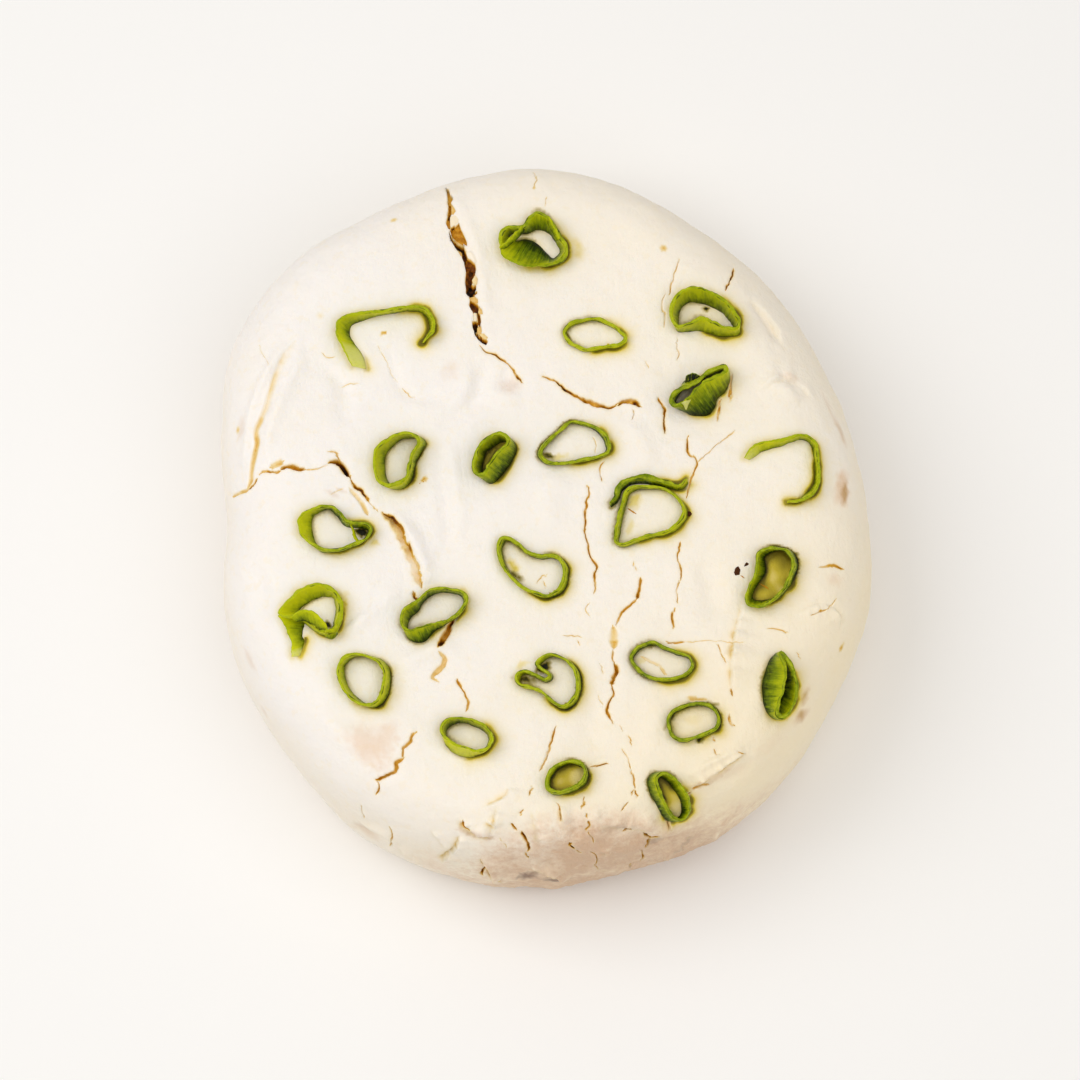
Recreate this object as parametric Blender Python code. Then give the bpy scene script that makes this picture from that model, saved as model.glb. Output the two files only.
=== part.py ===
"""A hand-shaped round of soft white cheese, topped with rings and curls of sliced scallion.

Units are metres, +Z is up, and the origin is the centre of the base. The front is at -Y.
Places on the cheese are hand-read from a picture of it, 1080 by 1080 pixels, taken from
high above the front. on_cheese() turns such a place into a point on the surface.
"""

import math

import bpy
import bmesh
from mathutils import Vector, noise
from mathutils.geometry import delaunay_2d_cdt

MM = 0.001

# Driving sizes of the cheese
WHEEL_HEIGHT = 34 * MM
WAIST_HEIGHT = 18 * MM      # height at which the side stands out furthest
FOOT_INSET = 6 * MM         # how far the side rolls under, down to the flat base
EDGE_POWER = 2.4            # 2 is a round top edge, more is a squarer one
FOOT_POWER = 2.3            # likewise where the side rolls under
BEND_RATIO = 0.85           # length of a bend against the sum of its two sides

# Radius of the outline every 15 degrees, counter-clockwise from +X, and the width of the
# rounded top edge every 30 degrees
OUTLINE_RADII = [r * MM for r in (
    55.8, 55.1, 55.3, 56.7, 58.3, 61.0, 63.0, 63.0, 62.3, 63.4, 62.5, 57.8,
    54.7, 57.4, 59.0, 60.3, 62.7, 63.3, 63.1, 62.2, 61.9, 60.6, 58.9, 57.9)]
EDGE_WIDTHS = [w * MM for w in (15, 14, 13, 12, 12, 13, 14, 13, 11, 10, 10, 13)]

# Gentle hand-pressed unevenness: height of each scale of lump, and its length
LUMPS = ((0.55 * MM, 26 * MM), (0.18 * MM, 9 * MM))

# The picture that places are read from
PICTURE_CENTRE = (540, 540)
PIXEL = 0.17 * MM           # size of a pixel at the height of the cheese's top
VIEW_ANGLE = math.radians(72)
VIEW_DISTANCE = 1020 * MM
VIEW_AIM = Vector((-0.7 * MM, -8.5 * MM, WHEEL_HEIGHT))
TO_VIEWER = Vector((0, -math.cos(VIEW_ANGLE), math.sin(VIEW_ANGLE)))
SEARCH_ROUNDS = 60          # each closes most of the gap left between a place and its pixel
LEAST_FACING = 0.12         # skin turned further from the viewer than this can't be read
STEP_BACK = 0.985           # so the search moves in by this share of its distance from the centre

# Spacing of the surface's vertices, over it and along a crack or ridge
GRID = 3.7 * MM
RIM_POINTS = 104
RELIEF_STEP = 2.6 * MM
LINE_STEPS = 4              # points of a smooth line from one of its places to the next
LEAF_STEPS = 2              # likewise along a scallion's wall
SAME_PLACE = 1e-7           # vertices closer than this are one
SHARP_ANGLE = math.radians(50)

# A crack or ridge grows from this share of its height at an end to all of it
END_SHARE = 0.25
END_TAPER = 6

GAP = 0.3 * MM              # clearance between a scallion piece and the cheese

# Each crack: width, depth and the places it runs through
CRACKS = (
    (2.0, 4.0, ((449, 199), (450, 207), (453, 226), (462, 250), (471, 275), (475, 305), (485, 337))),
    (1.0, 2.0, ((485, 337), (497, 356), (514, 371), (523, 384))),
    (1.1, 2.2, ((543, 375), (561, 387), (586, 401), (610, 407), (640, 404))),
    (1.0, 2.0, ((658, 398), (664, 414), (664, 434))),
    (1.0, 2.0, ((689, 436), (698, 463), (691, 480), (686, 498))),
    (1.0, 2.0, ((680, 541), (681, 566), (677, 603), (674, 626))),
    (1.2, 2.4, ((588, 486), (585, 512), (588, 545), (597, 574), (595, 595))),
    (1.0, 2.0, ((603, 461), (599, 470), (602, 482))),
    (1.3, 2.6, ((640, 578), (637, 594), (618, 618), (613, 645), (614, 675), (609, 702), (613, 722),
                (625, 742), (632, 770), (636, 794))),
    (0.9, 1.8, ((556, 727), (546, 758), (531, 794))),
    (1.0, 2.2, ((517, 815), (523, 833), (526, 853))),
    (1.8, 1.6, ((294, 346), (276, 384), (263, 420), (254, 452), (250, 488), (236, 497))),
    (1.2, 2.4, ((262, 474), (285, 468), (314, 468), (343, 464), (356, 485), (370, 501))),
    (2.2, 3.0, ((381, 513), (395, 526), (404, 548), (415, 568), (420, 587))),
    (1.3, 2.6, ((454, 620), (444, 636), (437, 648))),
    (1.1, 2.2, ((442, 653), (441, 667), (435, 681))),
    (1.0, 2.0, ((457, 679), (468, 700), (464, 712))),
    (1.1, 2.4, ((416, 733), (402, 754), (379, 778), (375, 796))),
    (1.0, 1.8, ((678, 259), (670, 290))),
    (1.0, 1.8, ((735, 270), (722, 296))),
    (1.0, 1.6, ((668, 643), (704, 642), (741, 644))),
    (1.6, 1.6, ((742, 606), (735, 640), (732, 690))),
    (1.8, 1.4, ((692, 789), (716, 775), (742, 761))),
    (1.6, 2.6, ((478, 861), (488, 870), (498, 878))),
    (1.4, 1.8, ((461, 823), (471, 832), (488, 836))),
    (1.3, 2.2, ((570, 845), (583, 853), (596, 857))),
)

# Each raised flake or fold, in the same way
RIDGES = (
    (2.2, 0.9, ((684, 777), (709, 764), (736, 751))),
    (2.4, 0.5, ((343, 635), (372, 612), (400, 589))),
    (2.4, 0.8, ((531, 838), (548, 843), (563, 840))),
    (2.2, 0.8, ((604, 848), (622, 843), (638, 846))),
    (2.2, 0.7, ((494, 853), (508, 862), (519, 866))),
)

# Each scallion piece: name, whether it closes into a ring, height, wall, and the lines that
# its upper edge and its foot follow
SCALLIONS = (
    ("scallion_01", True, 2.6, 0.8,
     ((524, 226), (530, 217), (538, 212), (547, 217), (553, 225), (560, 236), (566, 246), (565, 256),
      (557, 263), (544, 266), (527, 266), (511, 262), (502, 254), (500, 243), (501, 233), (508, 227),
      (516, 227)),
     ((527, 232), (532, 230), (538, 229), (545, 230), (552, 234), (557, 241), (561, 249), (560, 256),
      (554, 260), (548, 256), (538, 245), (526, 240), (517, 241), (510, 240), (507, 236), (511, 233),
      (519, 232))),
    ("scallion_02", False, 2.4, 0.8,
     ((352, 366), (346, 354), (340, 342), (336, 331), (338, 321), (346, 316), (360, 313), (376, 311),
      (392, 309), (408, 307), (421, 307), (430, 313), (434, 322), (433, 331), (424, 342)),
     ((367, 369), (364, 359), (356, 347), (350, 338), (349, 330), (352, 324), (361, 320), (376, 315),
      (392, 312), (408, 310), (420, 311), (427, 316), (430, 323), (430, 331), (422, 343))),
    ("scallion_03", True, 1.3, 0.7,
     ((564, 331), (571, 323), (581, 320), (591, 318), (602, 320), (612, 325), (620, 331), (625, 338),
      (619, 344), (605, 346), (587, 349), (577, 346), (568, 340)),
     (1, 2)),
    ("scallion_04", True, 3.2, 0.8,
     ((671, 316), (672, 304), (678, 294), (688, 288), (700, 288), (712, 292), (724, 300), (734, 310),
      (739, 321), (735, 328), (722, 326), (709, 320), (700, 318), (690, 323), (678, 326)),
     ((677, 321), (678, 311), (683, 304), (692, 301), (702, 303), (712, 306), (722, 311), (729, 318),
      (735, 327), (738, 333), (724, 336), (709, 332), (697, 329), (686, 331), (678, 330))),
    ("scallion_05", True, 4.2, 0.8,
     ((672, 401), (674, 394), (681, 389), (690, 387), (699, 381), (706, 374), (715, 369), (724, 367),
      (723, 375), (715, 381), (706, 385), (698, 391), (690, 397), (682, 403), (676, 405)),
     ((674, 403), (676, 396), (681, 389), (688, 381), (697, 380), (707, 376), (717, 372), (725, 370),
      (728, 380), (724, 391), (716, 398), (713, 409), (706, 415), (694, 414), (682, 409))),
    ("scallion_06", True, 3.0, 0.8,
     ((374, 467), (374, 453), (382, 443), (394, 435), (406, 433), (416, 436), (418, 443), (413, 453),
      (409, 466), (406, 477), (397, 483), (387, 485), (378, 480)),
     ((384, 467), (385, 455), (391, 446), (400, 439), (409, 437), (419, 438), (425, 444), (419, 454),
      (413, 467), (411, 479), (402, 487), (392, 487), (386, 480))),
    ("scallion_07", True, 3.6, 0.8,
     ((473, 467), (475, 456), (480, 446), (488, 437), (498, 433), (507, 437), (507, 444), (500, 450),
      (493, 458), (488, 466), (484, 473), (477, 474)),
     ((481, 470), (482, 459), (487, 450), (494, 445), (502, 441), (510, 441), (515, 448), (512, 458),
      (506, 468), (500, 476), (492, 482), (484, 478))),
    ("scallion_08", True, 1.5, 0.8,
     ((541, 455), (544, 446), (553, 437), (562, 429), (571, 422), (583, 423), (595, 427), (603, 433),
      (608, 441), (609, 450), (603, 455), (590, 458), (575, 461), (560, 463), (549, 462)),
     (-2, 1)),
    ("scallion_09", True, 1.8, 0.7,
     ((623, 500), (626, 491), (634, 487), (645, 486), (657, 487), (667, 490), (676, 497), (682, 505),
      (683, 513), (678, 522), (670, 529), (658, 533), (646, 536), (634, 540), (622, 544), (615, 541),
      (616, 531), (618, 520), (620, 510)),
     (3, 2)),
    ("scallion_09_outer_leaf", False, 1.6, 0.6,
     ((610, 503), (616, 496), (618, 488), (625, 481), (635, 478), (645, 477), (655, 479), (666, 482),
      (676, 485), (682, 484), (687, 479)),
     (1, 2)),
    ("scallion_10", False, 2.0, 0.7,
     ((744, 458), (749, 450), (757, 444), (768, 441), (780, 440), (791, 437), (802, 435), (811, 438),
      (817, 445), (818, 456), (819, 468), (819, 480), (816, 490), (808, 497), (798, 501), (787, 501)),
     ((749, 460), (755, 456), (761, 451), (770, 449), (781, 445), (791, 441), (801, 439), (809, 442),
      (813, 448), (815, 457), (816, 468), (816, 480), (813, 488), (806, 495), (798, 501), (787, 503))),
    ("scallion_11", True, 2.2, 0.8,
     ((300, 533), (299, 521), (303, 513), (312, 509), (322, 506), (332, 507), (340, 513), (347, 521),
      (357, 523), (367, 524), (371, 530), (366, 538), (356, 543), (344, 548), (331, 550), (319, 548),
      (308, 541)),
     ((313, 537), (311, 525), (313, 516), (318, 512), (324, 509), (331, 509), (338, 516), (346, 525),
      (357, 527), (366, 528), (369, 532), (364, 540), (355, 545), (344, 549), (333, 551), (323, 551),
      (316, 545))),
    ("scallion_12", True, 1.8, 0.8,
     ((499, 556), (498, 546), (502, 538), (511, 539), (520, 546), (529, 553), (540, 556), (551, 555),
      (560, 560), (564, 569), (563, 580), (557, 590), (545, 595), (533, 592), (521, 586), (511, 577),
      (503, 567)),
     (3, 2)),
    ("scallion_13", True, 2.6, 0.8,
     ((757, 562), (758, 554), (766, 549), (776, 548), (786, 551), (792, 560), (791, 572), (786, 584),
      (778, 595), (768, 603), (757, 607), (748, 604), (746, 596), (750, 585), (755, 574)),
     ((764, 564), (763, 557), (769, 552), (779, 549), (790, 552), (796, 562), (794, 574), (789, 585),
      (780, 596), (769, 601), (758, 602), (752, 599), (752, 593), (757, 584), (764, 573))),
    ("scallion_14", True, 2.4, 0.8,
     ((278, 613), (285, 603), (295, 593), (306, 586), (318, 584), (329, 587), (337, 594), (341, 605),
      (340, 618), (336, 629), (328, 632), (318, 627), (309, 620), (300, 615), (288, 617)),
     ((299, 611), (301, 607), (306, 603), (313, 599), (321, 596), (329, 595), (335, 598), (338, 607),
      (337, 619), (334, 629), (327, 634), (317, 630), (308, 624), (302, 617), (300, 614))),
    ("scallion_14_tail", False, 1.2, 0.7,
     ((283, 622), (287, 632), (291, 643), (294, 656)),
     ((303, 625), (303, 634), (302, 643), (300, 654))),
    ("scallion_15", True, 2.5, 0.8,
     ((401, 621), (403, 610), (411, 604), (419, 599), (427, 591), (438, 588), (450, 589), (461, 591),
      (466, 599), (462, 609), (453, 617), (442, 622), (430, 624), (419, 627), (410, 630), (404, 627)),
     ((407, 624), (411, 616), (417, 611), (421, 604), (428, 597), (438, 592), (449, 592), (460, 594),
      (465, 600), (462, 610), (454, 618), (443, 625), (433, 632), (425, 641), (416, 642), (408, 636))),
    ("scallion_16", True, 2.5, 0.8,
     ((338, 676), (338, 666), (344, 657), (354, 654), (366, 656), (377, 661), (383, 671), (383, 683),
      (380, 695), (372, 704), (361, 704), (350, 697), (342, 687)),
     (6, 1)),
    ("scallion_17", True, 2.8, 0.8,
     ((441, 731), (443, 723), (451, 718), (463, 718), (475, 721), (486, 727), (492, 736), (489, 746),
      (479, 751), (467, 748), (456, 744), (447, 738)),
     ((445, 736), (446, 729), (453, 724), (463, 722), (474, 725), (484, 730), (490, 738), (487, 748),
      (479, 753), (468, 757), (456, 753), (447, 745))),
    ("scallion_18", True, 2.0, 0.7,
     ((516, 680), (518, 673), (526, 671), (535, 675), (544, 679), (549, 675), (542, 669), (536, 664),
      (541, 658), (550, 654), (561, 657), (570, 664), (576, 674), (577, 686), (573, 698), (563, 706),
      (553, 702), (543, 693), (531, 687), (521, 685)),
     (3, 2)),
    ("scallion_19", True, 1.6, 0.8,
     ((631, 658), (636, 649), (645, 644), (654, 642), (664, 647), (676, 652), (688, 656), (692, 664),
      (688, 672), (677, 677), (663, 679), (649, 676), (638, 669)),
     (1, 2)),
    ("scallion_20", True, 1.6, 0.8,
     ((668, 721), (672, 712), (681, 707), (692, 704), (704, 704), (714, 709), (718, 718), (716, 727),
      (706, 733), (694, 737), (682, 740), (672, 735)),
     (1, 1)),
    ("scallion_21", True, 4.2, 0.9,
     ((779, 653), (787, 659), (792, 671), (795, 684), (794, 699), (788, 712), (780, 715), (775, 707),
      (776, 696), (779, 684), (780, 672), (778, 661)),
     (-12, 2)),
    ("scallion_22", True, 2.4, 0.8,
     ((547, 779), (552, 769), (561, 763), (572, 761), (582, 765), (585, 774), (580, 783), (569, 789),
      (556, 792), (548, 788)),
     (2, 2)),
    ("scallion_23", True, 3.0, 0.8,
     ((657, 778), (664, 773), (673, 777), (682, 787), (689, 799), (690, 811), (684, 819), (675, 818),
      (668, 808), (662, 797), (658, 787)),
     (-8, 1)),
)


def between(values, angle):
    """The value at an angle of a list that is spread evenly round the circle, joined smoothly."""
    place = (angle / math.tau % 1.0) * len(values)
    first = int(place)
    part = place - first
    before, start, end, after = (values[(first + k) % len(values)] for k in (-1, 0, 1, 2))
    return spline(before, start, end, after, part)


def spline(before, start, end, after, part):
    """A Catmull-Rom curve from start to end, at a part between 0 and 1."""
    return start + 0.5 * part * (end - before + part * (
        2 * before - 5 * start + 4 * end - after + part * (3 * (start - end) + after - before)))


def bend_lengths(angle):
    """Lengths, along the surface, of the flat top, its rounded edge and the rolled-under foot."""
    edge = between(EDGE_WIDTHS, angle)
    flat = between(OUTLINE_RADII, angle) - edge
    upper = BEND_RATIO * (edge + WHEEL_HEIGHT - WAIST_HEIGHT)
    lower = BEND_RATIO * (FOOT_INSET + WAIST_HEIGHT)
    return edge, flat, upper, lower


def surface(x, y):
    """Point and normal of the cheese, at a place on its skin unrolled flat round the top's centre."""
    angle, run = math.atan2(y, x), math.hypot(x, y)
    edge, flat, upper, lower = bend_lengths(angle)
    if run <= flat:
        radius, height, out, up, firm = run, WHEEL_HEIGHT, 0.0, 1.0, 1.0
    elif run <= flat + upper:
        turn = (run - flat) / upper * math.pi / 2
        radius = flat + edge * math.sin(turn) ** (2 / EDGE_POWER)
        height = WAIST_HEIGHT + (WHEEL_HEIGHT - WAIST_HEIGHT) * math.cos(turn) ** (2 / EDGE_POWER)
        out, up, firm = math.sin(turn), math.cos(turn), 1.0
    else:
        turn = min(1.0, (run - flat - upper) / lower) * math.pi / 2
        radius = flat + edge - FOOT_INSET * (1 - math.cos(turn) ** (2 / FOOT_POWER))
        height = WAIST_HEIGHT * (1 - math.sin(turn) ** (2 / FOOT_POWER))
        out, up, firm = math.cos(turn), -math.sin(turn), math.cos(turn)
    normal = Vector((out * math.cos(angle), out * math.sin(angle), up))
    point = Vector((radius * math.cos(angle), radius * math.sin(angle), height))
    return point + normal * (lumps(point) * firm), normal


def lumps(point):
    """Height of the hand-pressed lumps at a point."""
    return sum(size * noise.noise(point / length) for size, length in LUMPS)


def top_height(x, y):
    """Height of the cheese above a place inside its outline."""
    angle, radius = math.atan2(y, x), math.hypot(x, y)
    edge, flat, upper, _lower = bend_lengths(angle)
    run = radius
    if radius > flat:
        run = flat + upper * math.asin(min(1.0, (radius - flat) / edge) ** (EDGE_POWER / 2)) * 2 / math.pi
    point, _normal = surface(run * math.cos(angle), run * math.sin(angle))
    return point.z


def picture_of(point):
    """Where a point shows in the picture, in pixels."""
    away = point - VIEW_AIM
    up = away.y * math.sin(VIEW_ANGLE) + away.z * math.cos(VIEW_ANGLE)
    near = away.z * math.sin(VIEW_ANGLE) - away.y * math.cos(VIEW_ANGLE)
    scale = VIEW_DISTANCE / (VIEW_DISTANCE - near) / PIXEL
    return Vector((PICTURE_CENTRE[0] + away.x * scale, PICTURE_CENTRE[1] - up * scale))


def on_cheese(place, lift=0.0):
    """The unrolled place whose skin, lifted by a height, shows at a place in the picture."""
    target = Vector(place)
    x = (place[0] - PICTURE_CENTRE[0]) * PIXEL + VIEW_AIM.x
    y = (PICTURE_CENTRE[1] - place[1]) * PIXEL + VIEW_AIM.y
    for _ in range(SEARCH_ROUNDS):
        point, normal = surface(x, y)
        if normal.dot(TO_VIEWER) < LEAST_FACING:
            x, y = x * STEP_BACK, y * STEP_BACK
            continue
        miss = target - picture_of(point + Vector((0, 0, lift)))
        x += miss.x * PIXEL
        y -= miss.y * PIXEL
    return Vector((x, y))


def smooth_line(points, closed, steps):
    """A smooth line through points, with a number of steps between each two."""
    count = len(points)
    line = []
    for k in range(count if closed else count - 1):
        near = [points[(k + j) % count] if closed else points[max(0, min(count - 1, k + j))]
                for j in (-1, 0, 1, 2)]
        line += [spline(*near, step / steps) for step in range(steps)]
    return line if closed else line + [points[-1]]


def even_steps(line, step):
    """The same line with its points about one step apart."""
    lengths = [(b - a).length for a, b in zip(line, line[1:])]
    count = max(2, round(sum(lengths) / step))
    points, travelled, k = [line[0]], 0.0, 0
    for n in range(1, count):
        wanted = sum(lengths) * n / count
        while travelled + lengths[k] < wanted:
            travelled += lengths[k]
            k += 1
        points.append(line[k].lerp(line[k + 1], (wanted - travelled) / lengths[k]))
    return points + [line[-1]]


def distance_to_line(place, line):
    """Shortest distance from a place to a line, and how far along it that is, from 0 to 1."""
    best, where = math.inf, 0.0
    for k, (a, b) in enumerate(zip(line, line[1:])):
        reach = b - a
        part = max(0.0, min(1.0, (place - a).dot(reach) / reach.length_squared))
        gap = (place - a - reach * part).length
        if gap < best:
            best, where = gap, (k + part) / (len(line) - 1)
    return best, where


def relief_lines():
    """Each crack or ridge as its half width, its height and a line on the unrolled skin."""
    lines = []
    for side, group in ((-1, CRACKS), (1, RIDGES)):
        for width, height, places in group:
            line = smooth_line([on_cheese(place) for place in places], False, LINE_STEPS)
            lines.append((width * MM / 2, side * height * MM, even_steps(line, RELIEF_STEP)))
    return lines


def relief(place, lines):
    """How far the ridges raise the skin at an unrolled place, or the cracks cut it if below 0."""
    lowest, highest = 0.0, 0.0
    for half_width, height, line in lines:
        gap, where = distance_to_line(place, line)
        if gap < half_width:
            taper = min(1.0, END_TAPER * min(where, 1 - where) + END_SHARE)
            here = height * taper * (1 - gap / half_width)
            lowest, highest = min(lowest, here), max(highest, here)
    return lowest + highest


def material(name, colour, roughness):
    made = bpy.data.materials.new(name)
    made.use_nodes = True
    shader = made.node_tree.nodes["Principled BSDF"]
    shader.inputs["Base Color"].default_value = (*colour, 1.0)
    shader.inputs["Roughness"].default_value = roughness
    shader.inputs["Metallic"].default_value = 0.0
    return made


def add_object(name, mesh_builder, look):
    """A new object from a finished bmesh, with smooth rounds and crisp edges."""
    mesh = bpy.data.meshes.new(name)
    mesh_builder.to_mesh(mesh)
    mesh_builder.free()
    mesh.materials.append(look)
    mesh.shade_smooth()
    mesh.set_sharp_from_angle(angle=SHARP_ANGLE)
    thing = bpy.data.objects.new(name, mesh)
    bpy.context.scene.collection.objects.link(thing)
    return thing


def skin_places(lines):
    """Unrolled vertices of the skin, the rim's first, and the edges of the cracks and ridges."""
    places = []
    for k in range(RIM_POINTS):
        angle = math.tau * k / RIM_POINTS
        _edge, flat, upper, lower = bend_lengths(angle)
        places.append(Vector((math.cos(angle), math.sin(angle))) * (flat + upper + lower))
    edges = []
    for half_width, _height, line in lines:
        first = len(places)
        places += line
        edges += [(first + k, first + k + 1) for k in range(len(line) - 1)]
        for side in (-1, 1):
            lip = []
            for k in range(1, len(line) - 1):
                along = (line[k + 1] - line[k - 1]).normalized()
                lip.append(len(places))
                places.append(line[k] + side * half_width * Vector((-along.y, along.x)))
            chain = [first] + lip + [first + len(line) - 1]
            edges += list(zip(chain, chain[1:]))
    reach = max(place.length for place in places[:RIM_POINTS])
    rows = int(reach / (GRID * math.sqrt(3) / 2)) + 1
    columns = int(reach / GRID) + 1
    for row in range(-rows, rows + 1):
        for column in range(-columns, columns + 1):
            place = Vector(((column + row % 2 / 2) * GRID, row * GRID * math.sqrt(3) / 2))
            _edge, flat, upper, lower = bend_lengths(math.atan2(place.y, place.x))
            if place.length > flat + upper + lower - GRID / 2:
                continue
            if any(distance_to_line(place, line)[0] < half_width + GRID / 3
                   for half_width, _height, line in lines):
                continue
            places.append(place)
    return places, edges


def build_cheese():
    lines = relief_lines()
    places, edges = skin_places(lines)
    rim = list(range(RIM_POINTS))
    skin, _edges, faces, *_sources = delaunay_2d_cdt(places, edges, [rim], 1, SAME_PLACE)
    shape = bmesh.new()
    for place in skin:
        point, normal = surface(place.x, place.y)
        shape.verts.new(point + normal * relief(place, lines))
    shape.verts.ensure_lookup_table()
    for face in faces:
        shape.faces.new([shape.verts[k] for k in face])
    open_edges = [edge for edge in shape.edges if edge.is_boundary]
    for vert in {vert for edge in open_edges for vert in edge.verts}:
        vert.co.z = 0.0
    bmesh.ops.edgeloop_fill(shape, edges=open_edges)
    bmesh.ops.recalc_face_normals(shape, faces=shape.faces)
    add_object("cheese_wheel", shape, material("soft white cheese", (0.93, 0.88, 0.77), 0.55))


def build_scallion(name, closed, height, wall, upper, foot, look):
    """A thin leaf wall between its upper edge and its foot on the cheese."""
    if len(foot) == 2:
        foot = [(x + foot[0], y + foot[1]) for x, y in upper]
    height, wall = height * MM, wall * MM
    tops = smooth_line([standing(place, height) for place in upper], closed, LEAF_STEPS)
    feet = smooth_line([standing(place, GAP) for place in foot], closed, LEAF_STEPS)
    count = len(tops)
    sections = []
    for k in range(count):
        after, before = ((k + 1) % count, k - 1) if closed else (min(k + 1, count - 1), max(k - 1, 0))
        along = (tops[after] + feet[after] - tops[before] - feet[before]).normalized()
        side = along.cross(tops[k] - feet[k]).normalized() * (wall / 2)
        raised = Vector((0, 0, abs(side.z)))
        corners = [feet[k] + side + raised, tops[k] + side, tops[k] - side, feet[k] - side + raised]
        for corner in corners:
            corner.z = max(corner.z, top_height(corner.x, corner.y) + GAP)
        sections.append(corners)
    shape = bmesh.new()
    rings = [[shape.verts.new(corner) for corner in section] for section in sections]
    for k in range(count if closed else count - 1):
        here, there = rings[k], rings[(k + 1) % count]
        for j in range(4):
            shape.faces.new((here[j], there[j], there[(j + 1) % 4], here[(j + 1) % 4]))
    if not closed:
        shape.faces.new(rings[0])
        shape.faces.new(reversed(rings[-1]))
    bmesh.ops.triangulate(shape, faces=shape.faces)
    bmesh.ops.recalc_face_normals(shape, faces=shape.faces)
    add_object(name, shape, look)


def standing(place, lift):
    """The point a lift above the cheese that shows at a place in the picture."""
    point, _normal = surface(*on_cheese(place, lift))
    return point + Vector((0, 0, lift))


def main():
    for thing in list(bpy.data.objects):
        bpy.data.objects.remove(thing, do_unlink=True)
    build_cheese()
    leaf_look = material("scallion green", (0.20, 0.32, 0.02), 0.4)
    for scallion in SCALLIONS:
        build_scallion(*scallion, leaf_look)


if __name__ == "__main__":
    main()
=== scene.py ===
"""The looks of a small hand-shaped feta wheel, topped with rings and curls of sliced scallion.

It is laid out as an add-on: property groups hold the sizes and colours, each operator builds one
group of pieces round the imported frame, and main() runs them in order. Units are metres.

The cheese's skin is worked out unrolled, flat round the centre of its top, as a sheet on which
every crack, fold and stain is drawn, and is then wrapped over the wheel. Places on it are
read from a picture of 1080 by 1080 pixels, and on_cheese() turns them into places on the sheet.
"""

import math

import bmesh
import bpy
import numpy as np
from bpy.props import FloatProperty, FloatVectorProperty, PointerProperty
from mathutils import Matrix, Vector, kdtree, noise
from mathutils.geometry import delaunay_2d_cdt


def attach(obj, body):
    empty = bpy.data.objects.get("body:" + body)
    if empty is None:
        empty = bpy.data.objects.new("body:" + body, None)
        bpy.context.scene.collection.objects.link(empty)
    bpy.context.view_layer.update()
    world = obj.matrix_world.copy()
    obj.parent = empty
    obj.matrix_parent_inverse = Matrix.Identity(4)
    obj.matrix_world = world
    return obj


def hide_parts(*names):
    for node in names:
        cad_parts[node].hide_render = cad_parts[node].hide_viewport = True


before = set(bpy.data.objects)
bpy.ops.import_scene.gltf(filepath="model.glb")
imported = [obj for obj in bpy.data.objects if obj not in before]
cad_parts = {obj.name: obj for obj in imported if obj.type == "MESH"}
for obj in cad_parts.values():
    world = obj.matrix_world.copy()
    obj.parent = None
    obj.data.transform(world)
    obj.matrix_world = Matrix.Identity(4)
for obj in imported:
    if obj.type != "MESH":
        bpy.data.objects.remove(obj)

bl_info = {
    "name": "Feta wheel with scallions",
    "version": (1, 0, 0),
    "blender": (4, 5, 0),
    "location": "3D View > Sidebar > Feta",
    "description": "Builds a cracked soft white cheese and its sliced scallion garnish",
    "category": "Add Mesh",
}

MM = 0.001
CHEESE = "cheese_wheel"

# Driving sizes of the wheel, which the frame's cheese shares. Its side stands out furthest at the
# waist, and rolls under by the inset, down to the flat base
WHEEL_HEIGHT = 34 * MM
WAIST_HEIGHT = 18 * MM
FOOT_INSET = 6 * MM
# A power of 2 makes a round bend, and more a squarer one
EDGE_POWER = 2.4
FOOT_POWER = 2.3
# Length of a bend against the sum of its two sides
BEND_RATIO = 0.85
# Radii of the outline, and widths of its rounded top edge, evenly round the wheel from its right
OUTLINE_RADII = np.array((
    55.8, 55.1, 55.3, 56.7, 58.3, 61.0, 63.0, 63.0, 62.3, 63.4, 62.5, 57.8,
    54.7, 57.4, 59.0, 60.3, 62.7, 63.3, 63.1, 62.2, 61.9, 60.6, 58.9, 57.9)) * MM
EDGE_WIDTHS = np.array((15, 14, 13, 12, 12, 13, 14, 13, 11, 10, 10, 13)) * MM
# Height and length of the skin's lumps, of its grain and of the crumble of its dry part, where a
# height is a share of the panel's
LUMPS = ((0.55 * MM, 26 * MM), (0.18 * MM, 9 * MM))
SKIN_GRAIN = ((0.2 * MM, 7 * MM), (0.13 * MM, 3.0 * MM), (0.06 * MM, 1.3 * MM))
CRUMBLE = ((0.9, 5.5 * MM), (0.7, 2.2 * MM), (0.35, 0.9 * MM))

# The picture that places are read from, whose view is also the camera's
PICTURE_CENTRE = (540, 540)
PIXEL = 0.17 * MM
VIEW_ANGLE = math.radians(72)
VIEW_DISTANCE = 1020 * MM
VIEW_AIM = Vector((-0.7 * MM, -8.5 * MM, WHEEL_HEIGHT))
TO_VIEWER = np.array((0, -math.cos(VIEW_ANGLE), math.sin(VIEW_ANGLE)))
LENS = 200
SENSOR = 36
# The search for a pixel's place takes rounds. Skin turned further from the viewer than the least
# facing can't be read, so there the search steps back towards the middle
SEARCH_ROUNDS = 60
LEAST_FACING = 0.12
STEP_BACK = 0.985
# The way the slices' shadows fall across the sheet
SHADOW_SIDE = np.array((0.85, -0.53))

# Spacing of the skin's vertices: between cracks, near them and at their lips
COARSE = 1.0 * MM
MEDIUM = 0.5 * MM
FINE = 0.275 * MM
# Where the fine spacing begins and ends beside a line, and where the coarse one takes over
LINE_CLEAR = 0.22 * MM
NEAR = 0.6 * MM
FAR = 2.4 * MM
# Rows of vertices each side of a crack: a share of its half width, and how far past that
CRACK_ROWS = ((0.45, 0), (0.72, 0), (0.94, 0), (1, 0.1 * MM), (1, 0.34 * MM))
# Height of a row of the grid's triangles against its spacing
ROW_RATIO = 0.866
RIM_POINTS = 480
SAME_PLACE = 1e-8

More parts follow.
